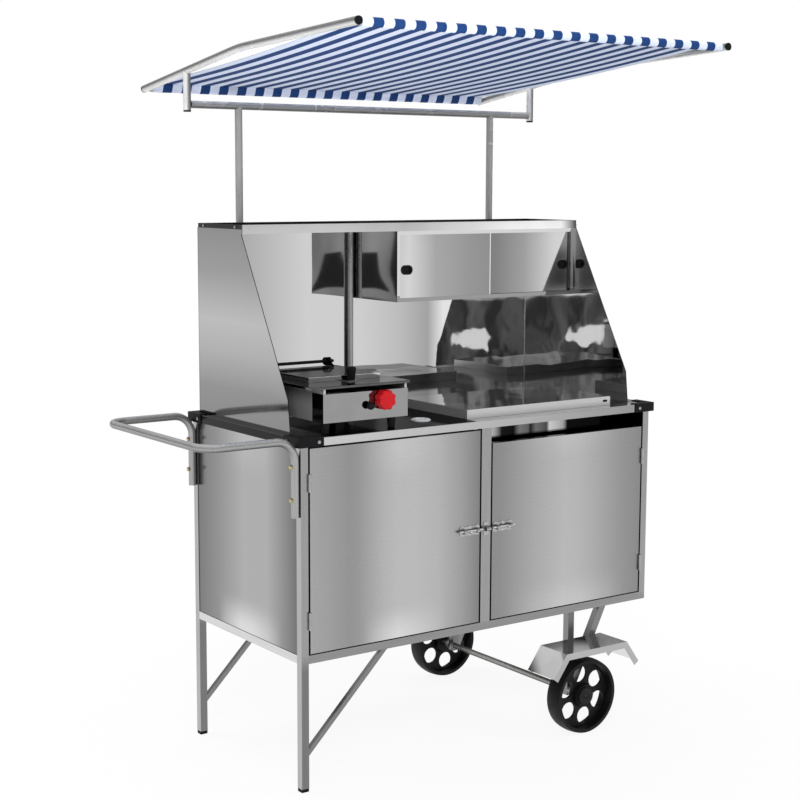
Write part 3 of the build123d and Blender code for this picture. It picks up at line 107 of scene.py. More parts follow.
DOOR_FOOT = reach("left_door", "Z")[0]
GLOW_RISE = 90 * MM
HEAD_LOW, HEAD_HIGH = 380 * MM, 480 * MM
LEG_FADE = 40 * MM
GRIT = 1.5 * MM
LINES_UP, LINES_LEVEL, LINES_NONE = (20.0, 20.0, 0.6), (0.6, 0.6, 30.0), (1.0, 1.0, 1.0)


def satin_sheet(name, solid, axis, stops, lit, glow=0.85, dull=0.26):
    """Satin stainless sheet: fine level grain and upright bands of painted sheen, the lit one paler with a
    painted floor glow at its foot and a painted highlight at its head.

    The bands are a colour ramp over the solid along one axis, lit is the share of the painted floor glow
    along it and dull the least roughness. Grain of 0.2 mm is drawn about 1.2 mm wide so that it shows."""
    low, high = reach(solid, axis)
    made, tree = new_material(name)
    place = put(tree, "ShaderNodeTexCoord", out="Object")
    along = put(tree, "ShaderNodeSeparateXYZ", {"Vector": place}, axis)
    height = put(tree, "ShaderNodeSeparateXYZ", {"Vector": place}, "Z")
    share = put(tree, "ShaderNodeMapRange", {"Value": along, "From Min": low, "From Max": high})
    # Painted sheen bands in place of the sheet's reflections
    bands = put(tree, "ShaderNodeValToRGB", {"Fac": share}, stops=stops)
    core = put(tree, "ShaderNodeValToRGB", {"Fac": share}, stops=lit)
    # Painted light in the lit band: a glow from the floor toward pale #E2E2E2 at the foot, and a highlight at
    # the head
    by_foot = put(tree, "ShaderNodeMapRange", {
        "Value": height, "From Min": DOOR_FOOT, "From Max": DOOR_FOOT + GLOW_RISE, "To Min": glow,
        "To Max": 0.0}, interpolation_type="SMOOTHSTEP")
    paler = put(tree, "ShaderNodeMath", {0: by_foot, 1: core}, operation="MULTIPLY")
    sheen = put(tree, "ShaderNodeMix", {"Factor": paler, "A": bands, "B": linear("#E2E2E2")}, "Result",
                data_type="RGBA")
    by_head = put(tree, "ShaderNodeMapRange", {
        "Value": height, "From Min": DOOR_FOOT + HEAD_LOW, "From Max": DOOR_FOOT + HEAD_HIGH, "To Min": 0.0,
        "To Max": 0.14}, interpolation_type="SMOOTHSTEP")
    head = put(tree, "ShaderNodeMath", {0: by_head, 1: core, 2: 1.0}, operation="MULTIPLY_ADD")
    drawn = put(tree, "ShaderNodeMapping", {"Vector": place, "Scale": (0.8, 0.8, 120.0)})
    grain = put(tree, "ShaderNodeTexNoise", {"Vector": drawn, "Scale": 7.0, "Detail": 3.0}, "Fac")
    shade = put(tree, "ShaderNodeMapRange", {"Value": grain, **NOISE, "To Min": 0.99, "To Max": 1.01})
    level = put(tree, "ShaderNodeMath", {0: shade, 1: head}, operation="MULTIPLY")
    colour = put(tree, "ShaderNodeVectorMath", {0: sheen, "Scale": level}, operation="SCALE")
    gloss = put(tree, "ShaderNodeMapRange", {"Value": grain, **NOISE, "To Min": dull, "To Max": dull + 0.06})
    bump = put(tree, "ShaderNodeBump", {"Height": grain, "Strength": 0.02, "Distance": 0.2 * MM})
    steel = put(tree, "ShaderNodeBsdfPrincipled", {
        "Base Color": colour, "Metallic": 1.0, "Roughness": gloss, "Normal": bump})
    put(tree, "ShaderNodeOutputMaterial", {"Surface": steel})
    return made


def polished_sheet(name, light, dark, wave=0.5 * MM, clear=0.04, dull=0.1, metal=1.0):
    """Polished stainless sheet: reflections that bend over the sheet's own slow waves, and faint smears.

    Its roughness goes from clear to dull, and less metal gives more plain light and less of a mirror."""
    made, tree = new_material(name)
    place = put(tree, "ShaderNodeTexCoord", out="Object")
    smear = put(tree, "ShaderNodeTexNoise", {"Vector": place, "Scale": 5.0, "Detail": 4.0}, "Fac")
    share = put(tree, "ShaderNodeMapRange", {"Value": smear, "From Min": 0.35, "From Max": 0.65})
    colour = put(tree, "ShaderNodeMix", {"Factor": share, "A": linear(light), "B": linear(dark)}, "Result",
                 data_type="RGBA")
    gloss = put(tree, "ShaderNodeMapRange", {"Value": smear, **SMEARS, "To Min": clear, "To Max": dull})
    waves = put(tree, "ShaderNodeTexNoise", {"Vector": place, "Scale": 4.0, "Detail": 1.0}, "Fac")
    bump = put(tree, "ShaderNodeBump", {"Height": waves, "Strength": 1.0, "Distance": wave})
    steel = put(tree, "ShaderNodeBsdfPrincipled", {
        "Base Color": colour, "Metallic": metal, "Roughness": gloss, "Normal": bump})
    put(tree, "ShaderNodeOutputMaterial", {"Surface": steel})
    return made


def hood_sheet():
    """Hood sheet: a wavy mirror inside with painted bands of reflection along it, a duller outside in soft
    level bands of painted sheen, and slanted cut edges painted dark.

    The corner folds are dull, and the right half of the inside is dented toward its foot."""
    low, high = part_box("hood_shell")
    half = (high.x - low.x) / 2
    side_fold, back_fold = 2.5 * MM, 3.6 * MM
    slant, slack = 0.45, 0.35
    made, tree = new_material("polished_hood_stainless")
    place = put(tree, "ShaderNodeTexCoord", out="Object")
    x, y, z = (put(tree, "ShaderNodeSeparateXYZ", {"Vector": place}, axis) for axis in "XYZ")
    from_middle = put(tree, "ShaderNodeMath", {0: x, 1: -(low.x + high.x) / 2}, operation="ADD")
    spread = put(tree, "ShaderNodeMath", {0: from_middle}, operation="ABSOLUTE")
    end_face = put(tree, "ShaderNodeMath", {0: spread, 1: half - MM}, operation="GREATER_THAN")
    back_face = put(tree, "ShaderNodeMath", {0: y, 1: high.y - MM}, operation="GREATER_THAN")
    outside = put(tree, "ShaderNodeMath", {0: end_face, 1: back_face}, operation="MAXIMUM")
    rise = put(tree, "ShaderNodeMapRange", {"Value": z, "From Min": low.z, "From Max": high.z})
    # Painted sheen bands up the outside
    bands = put(tree, "ShaderNodeValToRGB", {"Fac": rise}, stops=(
        (0.0, "#868686"), (0.16, "#8E8E8E"), (0.36, "#AEAEAE"), (0.52, "#BABABA"), (0.78, "#989898"),
        (1.0, "#8C8C8C")))
    along = put(tree, "ShaderNodeMapRange", {"Value": x, "From Min": low.x, "From Max": high.x})
    # Painted reflection bands along the inside
    mirror = put(tree, "ShaderNodeValToRGB", {"Fac": along}, stops=(
        (0.08, "#A2A2A2"), (0.3, "#CECECE"), (0.46, "#CDCDCD"), (0.58, "#BCBCBC"), (0.67, "#A2A2A2"),
        (0.72, "#E2E2E2")))
    sheet = put(tree, "ShaderNodeMix", {"Factor": outside, "A": mirror, "B": bands}, "Result",
                data_type="RGBA")
    facing = put(tree, "ShaderNodeTexCoord", out="Normal")
    lean = put(tree, "ShaderNodeSeparateXYZ", {"Vector": facing}, "Z")
    # Faces leaning between level and upright are painted dark
    cut_edge = put(tree, "ShaderNodeMath", {0: lean, 1: slant, 2: slack}, operation="COMPARE")
    colour = put(tree, "ShaderNodeMix", {"Factor": cut_edge, "A": sheet, "B": linear("#2A2A2A")}, "Result",
                 data_type="RGBA")
    by_side = put(tree, "ShaderNodeMath", {0: spread, 1: half - side_fold}, operation="GREATER_THAN")
    by_back = put(tree, "ShaderNodeMath", {0: y, 1: high.y - back_fold}, operation="GREATER_THAN")
    seam = put(tree, "ShaderNodeMath", {0: by_side, 1: by_back}, operation="MULTIPLY")
    sheen = put(tree, "ShaderNodeMapRange", {"Value": outside, "To Min": 0.02, "To Max": 0.08})
    gloss = put(tree, "ShaderNodeMath", {0: seam, 1: 0.4, 2: sheen}, operation="MULTIPLY_ADD")
    waves = put(tree, "ShaderNodeTexNoise", {"Vector": place, "Scale": 4.0, "Detail": 1.0}, "Fac")
    ripples = put(tree, "ShaderNodeTexNoise", {"Vector": place, "Scale": 14.0, "Detail": 1.0}, "Fac")
    right_half = put(tree, "ShaderNodeMapRange", {"Value": along, "From Min": 0.55, "From Max": 0.75})
    dented = put(tree, "ShaderNodeMapRange", {
        "Value": rise, "From Min": 0.3, "From Max": 0.6, "To Min": 0.3, "To Max": 0.0})
    depth = put(tree, "ShaderNodeMath", {0: right_half, 1: dented}, operation="MULTIPLY")
    height = put(tree, "ShaderNodeMath", {0: ripples, 1: depth, 2: waves}, operation="MULTIPLY_ADD")
    bump = put(tree, "ShaderNodeBump", {"Height": height, "Strength": 1.0, "Distance": 1.1 * MM})
    steel = put(tree, "ShaderNodeBsdfPrincipled", {
        "Base Color": colour, "Metallic": 1.0, "Roughness": gloss, "Normal": bump})
    put(tree, "ShaderNodeOutputMaterial", {"Surface": steel})
    return made


def counter_sheet():
    """Counter sheet: a mirror top in painted dark reflection, darkest from the griddle to the lid, with a
    painted bright reflection before the lid; its turned-down lip is paler, in painted reflection fading to
    the right, with dark ends."""
    low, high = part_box("countertop")
    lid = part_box("tank_lid")[0]
    left, right = reach("griddle_body", "X")[0], lid.x
    made, tree = new_material("polished_counter_stainless")
    place = put(tree, "ShaderNodeTexCoord", out="Object")
    x, y, z = (put(tree, "ShaderNodeSeparateXYZ", {"Vector": place}, axis) for axis in "XYZ")
    along = put(tree, "ShaderNodeMapRange", {"Value": x, "From Min": low.x, "From Max": high.x})
    # Painted reflection along the lip, fading from left to right
    lip = put(tree, "ShaderNodeValToRGB", {"Fac": along}, stops=(
        (0.0, "#181818"), (0.002, "#C8C8C8"), (0.5, "#B6B6B6"), (0.96, "#949494"), (0.998, "#181818")))
    # Painted bright reflection on the top before the lid
    before = put(tree, "ShaderNodeMath", {0: y, 1: lid.y + MM}, operation="LESS_THAN")
    beside = put(tree, "ShaderNodeMath", {0: x, 1: lid.x}, operation="GREATER_THAN")
    strip = put(tree, "ShaderNodeMath", {0: before, 1: beside}, operation="MULTIPLY")
    across = put(tree, "ShaderNodeMath", {0: x, 1: (left + right) / 2, 2: (right - left) / 2},
                 operation="COMPARE")
    ahead = put(tree, "ShaderNodeMath", {0: y, 1: reach("griddle_body", "Y")[1]}, operation="LESS_THAN")
    under = put(tree, "ShaderNodeMath", {0: across, 1: ahead}, operation="MULTIPLY")
    # The top's tone is a painted dark reflection, darker still from the griddle to the lid
    heat = put(tree, "ShaderNodeMix", {"Factor": under, "A": linear("#808080"), "B": linear("#505050")},
               "Result", data_type="RGBA")
    painted_top_tones = put(tree, "ShaderNodeMix", {"Factor": strip, "A": heat, "B": linear("#F0F0F0")}, "Result",
               data_type="RGBA")
    top = put(tree, "ShaderNodeMath", {0: z, 1: high.z - MM}, operation="GREATER_THAN")
    smear = put(tree, "ShaderNodeTexNoise", {"Vector": place, "Scale": 6.0, "Detail": 4.0}, "Fac")
    colour = put(tree, "ShaderNodeMix", {"Factor": top, "A": lip, "B": painted_top_tones}, "Result", data_type="RGBA")
    gloss = put(tree, "ShaderNodeMapRange", {"Value": smear, **SMEARS, "To Min": 0.06, "To Max": 0.14})
    # The painted dark reflection also greys the specular tint there
    painted_dark_share = put(tree, "ShaderNodeMath", {0: under, 1: top}, operation="MULTIPLY")
    slant = put(tree, "ShaderNodeMix", {"Factor": painted_dark_share, "A": linear("#FFFFFF"), "B": linear("#8A8A8A")},
                "Result", data_type="RGBA")
    steel = put(tree, "ShaderNodeBsdfPrincipled", {
        "Base Color": colour, "Metallic": 1.0, "Roughness": gloss, "Specular Tint": slant})
    put(tree, "ShaderNodeOutputMaterial", {"Surface": steel})
    return made


def tray_sheet():
    """Tray sheet: a bright polished front in painted bands of reflection, with the ends and the inside
    painted dark as shade, turned away from the light.
    """
    low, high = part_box("top_tray")
    made, tree = new_material("polished_tray_stainless")
    place = put(tree, "ShaderNodeTexCoord", out="Object")
    x = put(tree, "ShaderNodeSeparateXYZ", {"Vector": place}, "X")
    along = put(tree, "ShaderNodeMapRange", {"Value": x, "From Min": low.x, "From Max": high.x})
    # Painted reflection bands along the front, painted shade at its ends
    front = put(tree, "ShaderNodeValToRGB", {"Fac": along}, stops=(
        (0.0, "#343434"), (0.001, "#C6C6C6"), (0.25, "#CECECE"), (0.45, "#BEBEBE"), (0.8, "#FAFAFA"),
        (0.95, "#FAFAFA"), (0.999, "#343434")))
    y = put(tree, "ShaderNodeSeparateXYZ", {"Vector": place}, "Y")
    behind = put(tree, "ShaderNodeMath", {0: y, 1: low.y + 0.5 * MM}, operation="GREATER_THAN")
    # Painted shade on the inside, darker at the ends
    rest = put(tree, "ShaderNodeValToRGB", {"Fac": along}, stops=(
        (0.0, "#262626"), (0.001, "#909090"), (0.998, "#909090"), (0.999, "#262626")))
    colour = put(tree, "ShaderNodeMix", {"Factor": behind, "A": front, "B": rest}, "Result",
                 data_type="RGBA")
    smear = put(tree, "ShaderNodeTexNoise", {"Vector": place, "Scale": 6.0, "Detail": 4.0}, "Fac")
    gloss = put(tree, "ShaderNodeMapRange", {"Value": smear, **SMEARS, "To Min": 0.06, "To Max": 0.14})
    steel = put(tree, "ShaderNodeBsdfPrincipled", {"Base Color": colour, "Metallic": 1.0, "Roughness": gloss})
    put(tree, "ShaderNodeOutputMaterial", {"Surface": steel})
    return made


def sliding_sheet(name, solid, stops):
    """Polished sliding door or tank: a mirror with upright bands of painted reflection, light and dark, along
    it.
    """
    low, high = reach(solid, "X")
    made, tree = new_material(name)
    place = put(tree, "ShaderNodeTexCoord", out="Object")
    x = put(tree, "ShaderNodeSeparateXYZ", {"Vector": place}, "X")
    along = put(tree, "ShaderNodeMapRange", {"Value": x, "From Min": low, "From Max": high})
    # Painted reflection bands, light and dark
    colour = put(tree, "ShaderNodeValToRGB", {"Fac": along}, stops=stops)
    smear = put(tree, "ShaderNodeTexNoise", {"Vector": place, "Scale": 8.0, "Detail": 4.0}, "Fac")
    gloss = put(tree, "ShaderNodeMapRange", {"Value": smear, **SMEARS, "To Min": 0.05, "To Max": 0.1})
    steel = put(tree, "ShaderNodeBsdfPrincipled", {"Base Color": colour, "Metallic": 1.0, "Roughness": gloss})
    put(tree, "ShaderNodeOutputMaterial", {"Surface": steel})
    return made


def box_sheet():
    """Box sheet: a clear mirror, greyer along the folded bottom edge of its front with painted shade."""
    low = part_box("box_shell")[0]
    fold, edge_height = 3 * MM, 16 * MM
    made, tree = new_material("mirror_stainless_box")
    place = put(tree, "ShaderNodeTexCoord", out="Object")
    y = put(tree, "ShaderNodeSeparateXYZ", {"Vector": place}, "Y")
    z = put(tree, "ShaderNodeSeparateXYZ", {"Vector": place}, "Z")
    before = put(tree, "ShaderNodeMath", {0: y, 1: low.y + fold}, operation="LESS_THAN")
    beneath = put(tree, "ShaderNodeMath", {0: z, 1: low.z + edge_height}, operation="LESS_THAN")
    edge = put(tree, "ShaderNodeMath", {0: before, 1: beneath}, operation="MULTIPLY")
    # Painted shade on the folded bottom edge of the front
    colour = put(tree, "ShaderNodeMix", {"Factor": edge, "A": linear("#D4D4D4"), "B": linear("#989898")},
                 "Result", data_type="RGBA")
    waves = put(tree, "ShaderNodeTexNoise", {"Vector": place, "Scale": 4.0, "Detail": 1.0}, "Fac")
    bump = put(tree, "ShaderNodeBump", {"Height": waves, "Strength": 1.0, "Distance": 0.5 * MM})
    steel = put(tree, "ShaderNodeBsdfPrincipled", {
        "Base Color": colour, "Metallic": 1.0, "Roughness": 0.02, "Normal": bump})
    put(tree, "ShaderNodeOutputMaterial", {"Surface": steel})
    return made


def lid_sheet():
    """Lid sheet: a clear mirror on top, painted darker than the sides, and brushed turned-down sides that
    catch plain light.
    """
    made, tree = new_material("polished_lid_stainless")
    place = put(tree, "ShaderNodeTexCoord", out="Object")
    facing = put(tree, "ShaderNodeTexCoord", out="Normal")
    up = put(tree, "ShaderNodeSeparateXYZ", {"Vector": facing}, "Z")
    top = put(tree, "ShaderNodeMath", {0: up, 1: 0.5}, operation="GREATER_THAN")
    smear = put(tree, "ShaderNodeTexNoise", {"Vector": place, "Scale": 6.0, "Detail": 4.0}, "Fac")
    clear = put(tree, "ShaderNodeMapRange", {"Value": smear, **SMEARS, "To Min": 0.03, "To Max": 0.08})
    gloss = put(tree, "ShaderNodeMix", {"Factor": top, "A": 0.3, "B": clear}, "Result", data_type="FLOAT")
    metal = put(tree, "ShaderNodeMapRange", {"Value": top, "To Min": 0.7, "To Max": 1.0})
    # The top's tone is painted darker than the sides'
    tone = put(tree, "ShaderNodeMix", {"Factor": top, "A": linear("#C6C6C6"), "B": linear("#A6A6A6")},
               "Result", data_type="RGBA")
    waves = put(tree, "ShaderNodeTexNoise", {"Vector": place, "Scale": 9.0, "Detail": 1.0}, "Fac")
    bump = put(tree, "ShaderNodeBump", {"Height": waves, "Strength": 1.0, "Distance": 0.6 * MM})
    steel = put(tree, "ShaderNodeBsdfPrincipled", {
        "Base Color": tone, "Metallic": metal, "Roughness": gloss, "Normal": bump})
    put(tree, "ShaderNodeOutputMaterial", {"Surface": steel})
    return made


def square_tube(name, front, side, stretch, dull=0.22, leg_shade=1.0):
    """Drawn square tube or folded guard: painted light makes end-facing walls paler than front and back
    walls, with draw lines.

    Stretch sets which way the lines run; below the cabinet the front and back walls darken by leg_shade, a
    painted shade."""
    made, tree = new_material(name)
    place = put(tree, "ShaderNodeTexCoord", out="Object")
    facing = put(tree, "ShaderNodeTexCoord", out="Normal")
    # Painted light by facing: walls that face along X are paler
    across = put(tree, "ShaderNodeSeparateXYZ", {"Vector": facing}, "X")
    share = put(tree, "ShaderNodeMath", {0: across}, operation="ABSOLUTE")
    height = put(tree, "ShaderNodeSeparateXYZ", {"Vector": place}, "Z")
    # Painted shade on the front and back walls below the cabinet
    leg = put(tree, "ShaderNodeMapRange", {
        "Value": height, "From Min": DOOR_FOOT - LEG_FADE, "From Max": DOOR_FOOT, "To Min": leg_shade,
        "To Max": 1.0})
    front_tone = put(tree, "ShaderNodeVectorMath", {0: linear(front)[:3], "Scale": leg}, operation="SCALE")
    tone = put(tree, "ShaderNodeMix", {"Factor": share, "A": front_tone, "B": linear(side)}, "Result",
               data_type="RGBA")
    drawn = put(tree, "ShaderNodeMapping", {"Vector": place, "Scale": stretch})
    lines = put(tree, "ShaderNodeTexNoise", {"Vector": drawn, "Scale": 10.0, "Detail": 3.0}, "Fac")
    shade = put(tree, "ShaderNodeMapRange", {"Value": lines, **NOISE, "To Min": 0.9, "To Max": 1.06})
    colour = put(tree, "ShaderNodeVectorMath", {0: tone, "Scale": shade}, operation="SCALE")
    gloss = put(tree, "ShaderNodeMapRange", {"Value": lines, **NOISE, "To Min": dull, "To Max": dull + 0.1})
    steel = put(tree, "ShaderNodeBsdfPrincipled", {"Base Color": colour, "Metallic": 1.0, "Roughness": gloss})
    put(tree, "ShaderNodeOutputMaterial", {"Surface": steel})
    return made


def plated(name, light, dark, clear, dull, per_metre=120.0):
    """Bare or plated metal: bright, with small cloudy changes of tone, and of gloss from clear to dull."""
    made, tree = new_material(name)
    place = put(tree, "ShaderNodeTexCoord", out="Object")
    cloud = put(tree, "ShaderNodeTexNoise", {"Vector": place, "Scale": per_metre, "Detail": 3.0}, "Fac")
    colour = put(tree, "ShaderNodeMix", {"Factor": cloud, "A": linear(light), "B": linear(dark)}, "Result",
                 data_type="RGBA")
    gloss = put(tree, "ShaderNodeMapRange", {"Value": cloud, **NOISE, "To Min": clear, "To Max": dull})
    metal = put(tree, "ShaderNodeBsdfPrincipled", {"Base Color": colour, "Metallic": 1.0, "Roughness": gloss})
    put(tree, "ShaderNodeOutputMaterial", {"Surface": metal})
    return made


def round_tube(name, stops, metal=0.5, to_light=(-0.3, -0.35, 0.88)):
    """Drawn round tube: a painted bright flank, with painted shade round the tube, and faint clouds along it.

    The painted shading follows the angle between the surface and the direction to_light."""
    made, tree = new_material(name)
    place = put(tree, "ShaderNodeTexCoord", out="Object")
    facing = put(tree, "ShaderNodeTexCoord", out="Normal")
    # Painted highlight and shade by the angle to to_light
    turned = put(tree, "ShaderNodeVectorMath", {0: facing, 1: to_light}, "Value", operation="DOT_PRODUCT")
    share = put(tree, "ShaderNodeMapRange", {"Value": turned, **BOTH_WAYS})
    tone = put(tree, "ShaderNodeValToRGB", {"Fac": share}, stops=stops)
    cloud = put(tree, "ShaderNodeTexNoise", {"Vector": place, "Scale": 12.0, "Detail": 3.0}, "Fac")
    shade = put(tree, "ShaderNodeMapRange", {"Value": cloud, **NOISE, "To Min": 0.95, "To Max": 1.04})
    colour = put(tree, "ShaderNodeVectorMath", {0: tone, "Scale": shade}, operation="SCALE")
    gloss = put(tree, "ShaderNodeMapRange", {"Value": cloud, **NOISE, "To Min": 0.22, "To Max": 0.3})
    steel = put(tree, "ShaderNodeBsdfPrincipled", {
        "Base Color": colour, "Metallic": metal, "Roughness": gloss})
    put(tree, "ShaderNodeOutputMaterial", {"Surface": steel})
    return made


def axle_rod():
    """Zinc-plated axle: painted light along the top, painted shade beneath, and its cut ends black."""
    made, tree = new_material("zinc_plated_rod")
    place = put(tree, "ShaderNodeTexCoord", out="Object")
    facing = put(tree, "ShaderNodeTexCoord", out="Normal")
    rise = put(tree, "ShaderNodeSeparateXYZ", {"Vector": facing}, "Z")
    share = put(tree, "ShaderNodeMapRange", {"Value": rise, **BOTH_WAYS})
    # Painted light on top and painted shade beneath, by facing
    length = put(tree, "ShaderNodeValToRGB", {"Fac": share}, stops=(
        (0.0, "#303030"), (0.4, "#6A6A68"), (0.6, "#B8B8B6"), (0.75, "#E0E0DE"), (0.95, "#A0A09E")))
    ahead = put(tree, "ShaderNodeSeparateXYZ", {"Vector": facing}, "Y")
    flat_on = put(tree, "ShaderNodeMath", {0: ahead}, operation="ABSOLUTE")
    cut_end = put(tree, "ShaderNodeMath", {0: flat_on, 1: 0.7}, operation="GREATER_THAN")
    colour = put(tree, "ShaderNodeMix", {"Factor": cut_end, "A": length, "B": linear("#161616")}, "Result",
                 data_type="RGBA")
    cloud = put(tree, "ShaderNodeTexNoise", {"Vector": place, "Scale": 120.0, "Detail": 3.0}, "Fac")
    gloss = put(tree, "ShaderNodeMapRange", {"Value": cloud, **NOISE, "To Min": 0.25, "To Max": 0.36})
    zinc = put(tree, "ShaderNodeBsdfPrincipled", {"Base Color": colour, "Metallic": 0.8, "Roughness": gloss})
    put(tree, "ShaderNodeOutputMaterial", {"Surface": zinc})
    return made


def moulded(name, light, dark, clear, dull, shine=0.2):
    """Moulded plastic or rubber: a fine grit from the mould, with slight changes of tone and gloss.

    Grit of about 0.1 mm is drawn 1.5 mm wide so that it shows."""
    made, tree = new_material(name)
    place = put(tree, "ShaderNodeTexCoord", out="Object")
    cloud = put(tree, "ShaderNodeTexNoise", {"Vector": place, "Scale": 25.0, "Detail": 3.0}, "Fac")
    colour = put(tree, "ShaderNodeMix", {"Factor": cloud, "A": linear(light), "B": linear(dark)}, "Result",
                 data_type="RGBA")
    gloss = put(tree, "ShaderNodeMapRange", {"Value": cloud, **NOISE, "To Min": clear, "To Max": dull})
    grit = put(tree, "ShaderNodeTexNoise", {"Vector": place, "Scale": 1.0 / GRIT, "Detail": 1.0}, "Fac")
    bump = put(tree, "ShaderNodeBump", {"Height": grit, "Strength": 0.3, "Distance": 0.15 * MM})
    plastic = put(tree, "ShaderNodeBsdfPrincipled", {
        "Base Color": colour, "Roughness": gloss, "Specular IOR Level": shine, "Normal": bump})
    put(tree, "ShaderNodeOutputMaterial", {"Surface": plastic})
    return made


# The first ramps are painted sheen bands in place of reflections; the second place the painted floor glow and
# head highlight
give(satin_sheet("satin_stainless_left_door", "left_door", "X", (
    (0.0, "#AAAAAA"), (0.11, "#A2A2A2"), (0.22, "#989898"), (0.27, "#9C9C9C"), (0.42, "#B8B8B8"),
    (0.5, "#BFBFBF"), (0.6, "#BFBFBF"), (0.74, "#B9B9B9"), (0.89, "#A2A2A2"), (1.0, "#868686")),
    ((0.3, "#000000"), (0.5, "#FFFFFF"), (0.6, "#D0D0D0"), (0.8, "#000000"))), "left_door")
give(satin_sheet("satin_stainless_right_door", "right_door", "X", (
    (0.0, "#909090"), (0.06, "#939393"), (0.28, "#AEAEAE"), (0.47, "#BDBDBD"), (0.56, "#BBBBBB"),
    (0.68, "#B0B0B0"), (0.85, "#9C9C9C"), (1.0, "#8E8E8E")),
    ((0.1, "#000000"), (0.45, "#FFFFFF"), (0.6, "#FFFFFF"), (0.9, "#000000")), glow=0.3), "right_door")
give(satin_sheet("satin_stainless_panels", "cabinet_panels", "Y", (
    (0.0, "#6C6C6C"), (0.28, "#ACACAC"), (0.5, "#ACACAC"), (0.75, "#8E8E8E"), (0.985, "#707070"),
    (0.99, "#9C9C9C")),
    ((0.14, "#000000"), (0.32, "#D8D8D8"), (0.42, "#FFFFFF"), (0.54, "#FFFFFF"), (0.76, "#000000"),
     (0.985, "#000000"), (0.99, "#A0A0A0")), dull=0.16), "cabinet_panels")
# Painted light toward the floor panel's front and painted shade beyond, for the guards' tops to mirror
give(satin_sheet("satin_stainless_floor", "floor_panel", "Y", (
    (0.0, "#E6E6E6"), (0.28, "#DADADA"), (0.38, "#464646"), (1.0, "#343434")),
    ((0.0, "#000000"), (1.0, "#000000"))), "floor_panel")
give(hood_sheet(), "hood_shell")
give(tray_sheet(), "top_tray")
give(counter_sheet(), "countertop")
# Painted reflection bands on the sliding doors and the tank, and painted shade on the tank's dark right end
give(sliding_sheet("polished_stainless_left_slide", "left_slide_door", (
    (0.0, "#C8C8C8"), (0.12, "#D4D4D4"), (0.4, "#A8A8A8"), (0.75, "#989898"), (0.99, "#909090"),
    (0.994, "#F4F4F4"))), "left_slide_door")
give(sliding_sheet("polished_stainless_right_slide", "right_slide_door", (
    (0.0, "#808080"), (0.12, "#828282"), (0.45, "#A0A0A0"), (0.8, "#D0D0D0"), (1.0, "#D8D8D8"))),
    "right_slide_door")
give(sliding_sheet("polished_stainless_tank", "tank", (
    (0.0, "#303030"), (0.14, "#C0C0C0"), (0.2, "#A0A0A0"), (0.25, "#181818"), (0.34, "#101010"),
    (0.38, "#707070"), (0.44, "#606060"), (0.46, "#181818"), (0.5, "#686868"), (0.58, "#484848"),
    (0.6, "#C8C8C8"), (0.7, "#A0A0A0"), (0.73, "#0C0C0C"), (1.0, "#080808"))), "tank")
give(polished_sheet("mirror_stainless", "#DCDCDC", "#CCCCCC", 0.5 * MM, 0.01, 0.03), "food_pans")
give(box_sheet(), "box_shell")
give(lid_sheet(), "tank_lid")
# Painted light by facing makes the guards' end-facing walls paler
give(square_tube("folded_guard_stainless", "#B4B4B4", "#F0F0F0", LINES_NONE, dull=0.05), "wheel_guards")
give(polished_sheet("mirror_stainless_panel", "#989898", "#8C8C8C", 0.2 * MM), "griddle_panel")
give(polished_sheet("mirror_stainless_press", "#DADADA", "#CCCCCC", 0.6 * MM), "press_lid")
give(polished_sheet("heat_greyed_stainless", "#B4B4B4", "#A4A4A4", 0.3 * MM, 0.1, 0.2, 0.4), "griddle_body")
# Painted light makes end-facing walls paler; painted shade darkens the posts below the cabinet, and braces
# and struts are darker copies
give(square_tube("drawn_square_tube", "#A0A0A0", "#B4B4B4", LINES_UP, leg_shade=0.6), "posts", "mullion")
give(square_tube("drawn_brace_tube", "#868686", "#969696", LINES_UP), "braces")
give(square_tube("drawn_strut_tube", "#787878", "#8C8C8C", LINES_UP), "axle_struts")
give(square_tube("drawn_square_rail", "#949494", "#DADADA", LINES_LEVEL), "long_rails", "cross_rails")
# Painted highlights and shade on the round tubes: the roof tube lit from below by painted floor light, the
# mid post a darker copy for the shade in the hood
give(round_tube("drawn_handle_tube", (
    (0.1, "#4C4C4C"), (0.35, "#6C6C6C"), (0.55, "#969696"), (0.72, "#AAAAAA"), (0.8, "#A0A0A0"),
    (0.95, "#CACACA")), 0.75), "handle")
give(round_tube("drawn_awning_tube", (
    (0.1, "#545454"), (0.35, "#6E6E6E"), (0.55, "#8C8C8C"), (0.73, "#AAAAAA"), (0.92, "#C2C2C2"))),
    "awning_posts", "awning_sockets")
give(round_tube("drawn_roof_tube", (
    (0.05, "#A4A4A4"), (0.28, "#8A8A8A"), (0.5, "#767676"), (0.66, "#9C9C9C"), (0.85, "#D0D0D0"),
    (1.0, "#E0E0E0")), to_light=(-0.2, -0.2, -0.95)), "roof_frame")
give(round_tube("drawn_cross_tube", (
    (0.2, "#505050"), (0.45, "#747474"), (0.65, "#929292"), (0.74, "#C0C0C0"), (0.82, "#F4F4F4")),
    to_light=(-0.8, -0.2, 0.57)), "awning_cross_bar")
give(round_tube("drawn_post_tube", (
    (0.1, "#6A6A6A"), (0.45, "#848484"), (0.6, "#989898"), (0.75, "#B0B0B0")), 0.3), "mid_post")
give(polished_sheet("satin_chrome", "#F0F0F0", "#E0E0E0", 0.1 * MM, 0.12, 0.2, 0.35), "hose_ring")
give(plated("dull_chrome", "#C0C0C0", "#A0A0A0", 0.16, 0.26), "left_latch_plate", "right_latch_plate",
     "latch_keeper")
give(round_tube("chromed_bolt_rod", (
    (0.1, "#707070"), (0.45, "#989898"), (0.73, "#C8C8C8"), (0.92, "#DCDCDC"))), "left_latch_bolt",
    "right_latch_bolt")
give(axle_rod(), "axle")
